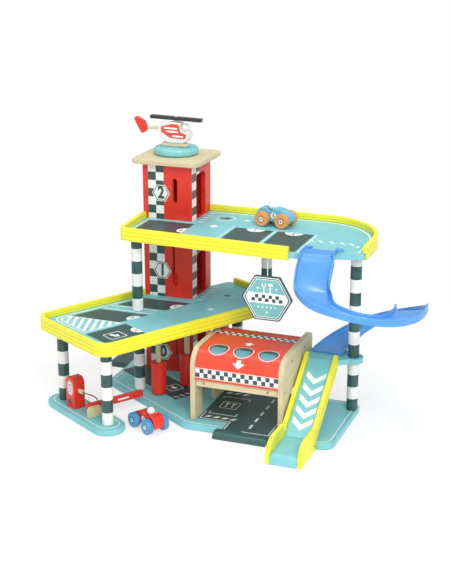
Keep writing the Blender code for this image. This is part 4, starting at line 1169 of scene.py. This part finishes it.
def channel_section(wall_height, extra_half_w):
    """Channel with rounded rims and filleted inner corners."""
    rim = 0.5 * SLIDE_WALL_T - 0.01
    foot = min(SLIDE_FILLET_R, wall_height - SLIDE_FILLET_CLEAR)
    outer = SLIDE_HALF_W + extra_half_w
    inner = outer - SLIDE_WALL_T
    right = arc((outer - SLIDE_FOOT_R, SLIDE_FOOT_R - SLIDE_FLOOR_T), SLIDE_FOOT_R, -90.0, 0.0, 3)
    right += arc((outer - 0.5 * SLIDE_WALL_T, wall_height - rim), rim, 0.0, 180.0, 6)
    right += arc((inner - foot, foot), foot, 0.0, -90.0, 4)
    return right + [(-w, h) for w, h in reversed(right)]


def slide_rings():
    route = smooth_route(SLIDE_UPPER_ROUTE + SLIDE_LOWER_ROUTE, SLIDE_SPAN_STEPS)
    middles = [Vector(station[:3]) for station in route]

    def step(index, back, forward):
        return middles[min(index + forward, len(middles) - 1)] - middles[max(index - back, 0)]

    rings = []
    for index, station in enumerate(route):
        heading = step(index, SLIDE_HEADING_BACK, SLIDE_HEADING_AHEAD).to_2d().normalized()
        slope = step(index, SLIDE_SLOPE_REACH, SLIDE_SLOPE_REACH)
        ahead = Vector((*(heading * slope.to_2d().length), slope.z)).normalized()
        bank = math.radians(max(0.0, station[3]))
        inward = Vector((-heading.y, heading.x, 0.0))
        up = ahead.cross(inward)
        across = inward * math.cos(bank) - up * math.sin(bank)
        rise = inward * math.sin(bank) + up * math.cos(bank)
        section = channel_section(station[4], max(0.0, station[5]))
        rings.append([middles[index] + across * w + rise * h for w, h in section])
    return rings


def skinned(name, rings):
    """Closed mesh through rings of as many points, with flat ends, smooth but for its sharp corners."""
    count = len(rings[0])
    verts = [at(*spot) for ring in rings for spot in ring]
    faces = [list(range(count)), [len(verts) - 1 - index for index in range(count)]]
    for ring in range(len(rings) - 1):
        faces += strip(ring * count, (ring + 1) * count, count)
    piece = mesh_piece(name, verts, faces)
    piece.data.shade_smooth()
    piece.data.set_sharp_from_angle(angle=math.radians(SHARP_ANGLE))
    return piece


def rounded_rod(name, start, end, radius):
    start, end = Vector(start), Vector(end)
    along = (end - start).normalized()
    side = along.orthogonal().normalized()
    other = along.cross(side)
    rings = []
    for centre, turns in ((start, (-80.0, -60.0, -35.0, 0.0)), (end, (0.0, 35.0, 60.0, 80.0))):
        for turn in turns:
            reach = radius * math.cos(math.radians(turn))
            spot = centre + along * (radius * math.sin(math.radians(turn)))
            rings.append([spot + side * a + other * b for a, b in circle((0.0, 0.0), reach, 20)])
    return skinned(name, rings)


def add_slide():
    """Smooth moulded halves that stand for the CAD ones, on the same route."""
    rings = slide_rings()
    joint = (len(SLIDE_UPPER_ROUTE) - 1) * SLIDE_SPAN_STEPS
    shift = (rings[joint + 1][0] - rings[joint][0]).normalized() * SLIDE_JOINT_GAP
    upper = skinned("slide_upper_shell", rings[:joint + 1])
    lower = skinned("slide_lower_shell", [[spot + shift for spot in rings[joint]]] + rings[joint + 1:])
    plastic = moulded_plastic("slide_plastic", SLIDE_BLUE)
    tabs = [rounded_rod("slide_tab_%d" % number, start, end, SLIDE_TAB_R)
            for number, (start, end) in enumerate(SLIDE_TABS, 1)]
    for piece in (upper, lower, *tabs):
        piece.data.materials.append(plastic)
        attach(piece, "garage")
    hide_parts("slide_upper_half")
    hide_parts("slide_lower_half")


# Helicopter and cars

def print_helicopter():
    """Red panel with plain white stripes on both sides."""
    panel = bent([
        (-28.0, 419.5, 6.0), (-12.0, 410.0, 12.0), (15.5, 408.6, 4.5), (18.0, 417.0, 2.5),
        (7.0, 420.0, 5.0), (5.0, 433.0, 3.0), (-10.0, 433.6, 12.0), (-28.5, 428.0, 4.0),
    ])
    for side, facing in (("front", -1.0), ("back", 1.0)):
        face_y = HELI_MIDDLE_Y + facing * 0.5 * HELI_T

        def panel_place(a, b, height, facing=facing, face_y=face_y):
            return at(a, face_y + facing * height, b)

        sheet = Print("helicopter_%s_print" % side, panel_place, "helicopter")
        sheet.area("red", panel)
        for left, right, b in ((-22.0, 1.5, 425.0), (-19.0, 3.5, 419.4), (-8.0, 12.0, 412.0)):
            sheet.area("white", bent([(left, b, 0.9), (right, b - 0.6, 0.9),
                                      (right, b + 2.2, 0.9), (left, b + 2.8, 0.9)]), 2)
        sheet.finish()


def print_car(car, centre, heading_deg, floor, number):
    """Number discs on the body's sides, and on each wheel's outer face a printed hub and a thin pale ring, a
    painted highlight that stands for a turned groove.
    """
    turn = math.radians(heading_deg)
    forward = Vector((math.cos(turn), math.sin(turn), 0.0))
    left = Vector((-math.sin(turn), math.cos(turn), 0.0))
    middle = Vector((*centre, floor))
    for side, facing in (("left", 1.0), ("right", -1.0)):
        def side_place(reach, facing=facing):
            def place(a, b, height):
                across = left * (facing * (reach + height))
                return at(*(middle - forward * (facing * a) + across + UP * b))
            return place

        body = Print("%s_car_%s_print" % (car, side), side_place(CAR_HALF_W), car + "_car")
        spot = (0.0, 18.0)
        body.disc("white", spot, 5.2, 1)
        body.number("black", number, spot, 6.0, 2)
        body.finish()
        for end, offset in (("front", HALF_WHEELBASE), ("rear", -HALF_WHEELBASE)):
            hub = (-facing * offset, WHEEL_R)
            name = "%s_%s_%s_hub_print" % (car, end, side)
            wheel = Print(name, side_place(WHEEL_FACE), "%s_%s_wheels" % (car, end))
            # Thin pale ring: a painted highlight standing for a turned groove
            wheel.band("pale", circle(hub, 9.1), circle(hub, 8.7))
            for layer, (ink, radius) in enumerate((("black", 4.3), ("white", 3.7), ("black", 1.3)), 1):
                wheel.disc(ink, hub, radius, layer)
            wheel.finish()


# Screws

def add_screw(name, body, centre, facing, radius):
    """Domed screw head that looks along facing, with a cross recess as deep as its rim's top."""
    normal = Vector(facing).normalized()
    side = normal.orthogonal().normalized()
    other = normal.cross(side)
    rings = ((radius, 0.05), (radius, SCREW_RIM), (0.82 * radius, 0.75), (0.5 * radius, 0.95))
    count = 24
    verts, faces = [], []

    def spot(a, b, height):
        return at(*(Vector(centre) + side * a + other * b + normal * height))

    for ring_radius, height in rings:
        for a, b in circle((0.0, 0.0), ring_radius, count):
            verts.append(spot(a, b, height))
    for ring in range(len(rings) - 1):
        faces += strip(ring * count, (ring + 1) * count, count)
    faces.append(list(reversed(range(count))))
    cross = []
    arm, half = 0.40 * radius, 0.13 * radius
    for quarter in range(4):
        cross += placed([(arm, half), (half, half), (half, arm)], (0.0, 0.0), 90.0 * quarter)
    last = (len(rings) - 1) * count
    lip, floor = len(verts), len(verts) + len(cross)
    verts += [spot(a, b, rings[-1][1]) for a, b in cross]
    verts += [spot(a, b, SCREW_RIM) for a, b in cross]
    for index in range(count):
        after = (index + 1) % count
        near = index // 2 % len(cross)
        near_after = after // 2 % len(cross)
        corners = [last + index, last + after, lip + near_after]
        if near != near_after:
            corners.append(lip + near)
        faces.append(corners)
    faces += strip(lip, floor, len(cross))
    faces.append([floor + index for index in range(len(cross))])
    screw = mesh_piece(name, verts, faces)
    screw.data.materials.append(bpy.data.materials.get("screw_steel") or steel())
    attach(screw, body)


def add_screws():
    panel_spots = ((-72.7, 113.7), (-137.7, 113.3), (-172.0, 73.0))
    places = [((WASH_RIGHT, y, z), (1.0, 0.0, 0.0)) for y, z in panel_spots]
    places += [((WASH_LEFT, y, z), (-1.0, 0.0, 0.0)) for y, z in panel_spots]
    places += [((x, -176.0, 71.6), (0.0, -1.0, 0.0)) for x in (133.4, 238.2)]
    places += [((324.0, -207.0, 9.0), (1.0, 0.0, 0.0)), ((268.0, -207.0, 9.0), (-1.0, 0.0, 0.0))]
    for number, (centre, facing) in enumerate(places, 1):
        add_screw("screw_%d" % number, "garage", centre, facing, SCREW_R)


# Camera, floor and light

def add_camera():
    data = bpy.data.cameras.new("camera")
    data.sensor_fit = "VERTICAL"
    data.sensor_height = CAMERA_SENSOR
    data.lens = CAMERA_LENS
    data.clip_end = 80.0
    camera = bpy.data.objects.new("camera", data)
    camera.location = at(*CAMERA_PLACE)
    camera.rotation_euler = (math.radians(CAMERA_TILT), 0.0, math.radians(CAMERA_HEADING))
    bpy.context.scene.collection.objects.link(camera)
    bpy.context.scene.camera = camera


def add_floor():
    """Round white floor. It takes the object's shadow, and fades to plain white further out."""
    ring = circle((0.0, 0.0), FLOOR_R, 96)
    floor = mesh_piece("floor", [Vector((a, b, -FLOOR_DROP)) for a, b in ring], [list(range(len(ring)))])
    nodes = Nodes("floor_white")
    centre_distance = nodes.add("VectorMath", {0: nodes.coordinates}, operation="LENGTH").outputs["Value"]
    plain = nodes.span(centre_distance, *FLOOR_FADE, 0.60, 1.0)
    share = nodes.times(nodes.seen_by("Camera", "Glossy", "Transmission"), plain)
    lit = nodes.add("BsdfDiffuse", {"Color": (0.93, 0.93, 0.93, 1.0)})
    glow = nodes.add("Emission", {"Color": (1.0, 1.0, 1.0, 1.0), "Strength": 1.0})
    mixed = nodes.add("MixShader", {0: share, 1: lit.outputs[0], 2: glow.outputs[0]})
    nodes.add("OutputMaterial", {"Surface": mixed.outputs[0]})
    floor.data.materials.append(nodes.owner)


def add_area_light(name, location, size, watts):
    data = bpy.data.lights.new(name, "AREA")
    data.shape = "DISK"
    data.size = size
    data.energy = watts
    lamp = bpy.data.objects.new(name, data)
    lamp.location = location
    aim = Vector(LAMP_TARGET) - Vector(location)
    lamp.rotation_euler = aim.to_track_quat("-Z", "Y").to_euler()
    bpy.context.scene.collection.objects.link(lamp)


def add_sky():
    """White sky, brighter on one side where it lights the object, and plain where the camera sees it."""
    nodes = Nodes("studio", world=True)
    facing = nodes.add("VectorMath", {0: nodes.coordinates, 1: BRIGHT_SIDE}, operation="DOT_PRODUCT")
    glow = nodes.span(facing.outputs["Value"], -1.0, 1.0, SKY_DIM, SKY_BRIGHT)
    strength = nodes.span(nodes.seen_by("Camera", "Transmission"), 0.0, 1.0, glow, 1.0)
    sky = nodes.add("Background", {"Color": (1.0, 1.0, 1.0, 1.0), "Strength": strength})
    nodes.add("OutputWorld", {"Surface": sky.outputs[0]})
    bpy.context.scene.world = nodes.owner
    bpy.context.scene.view_settings.view_transform = "Standard"


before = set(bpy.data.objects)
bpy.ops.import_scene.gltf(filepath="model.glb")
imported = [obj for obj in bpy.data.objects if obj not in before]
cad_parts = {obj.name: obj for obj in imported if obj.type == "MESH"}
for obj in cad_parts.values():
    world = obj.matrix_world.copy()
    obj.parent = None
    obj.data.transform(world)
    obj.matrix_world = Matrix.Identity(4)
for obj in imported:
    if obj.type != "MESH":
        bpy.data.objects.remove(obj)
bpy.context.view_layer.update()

add_camera()
add_hose()
finish_nodes()
add_slide()
print_base()
print_lower_deck()
print_upper_deck()
print_tower()
print_wash_cover()
print_ramp()
print_sign()
print_pump()
print_barrier()
print_helicopter()
print_car("red", (54.8, -215.3), 148.4, 0.0, "7")
print_car("blue", (181.9, 26.0), -9.1, UPPER_TOP + 0.3, "5")
add_screws()
add_floor()
for lamp_values in LAMPS:
    add_area_light(*lamp_values)
add_sky()
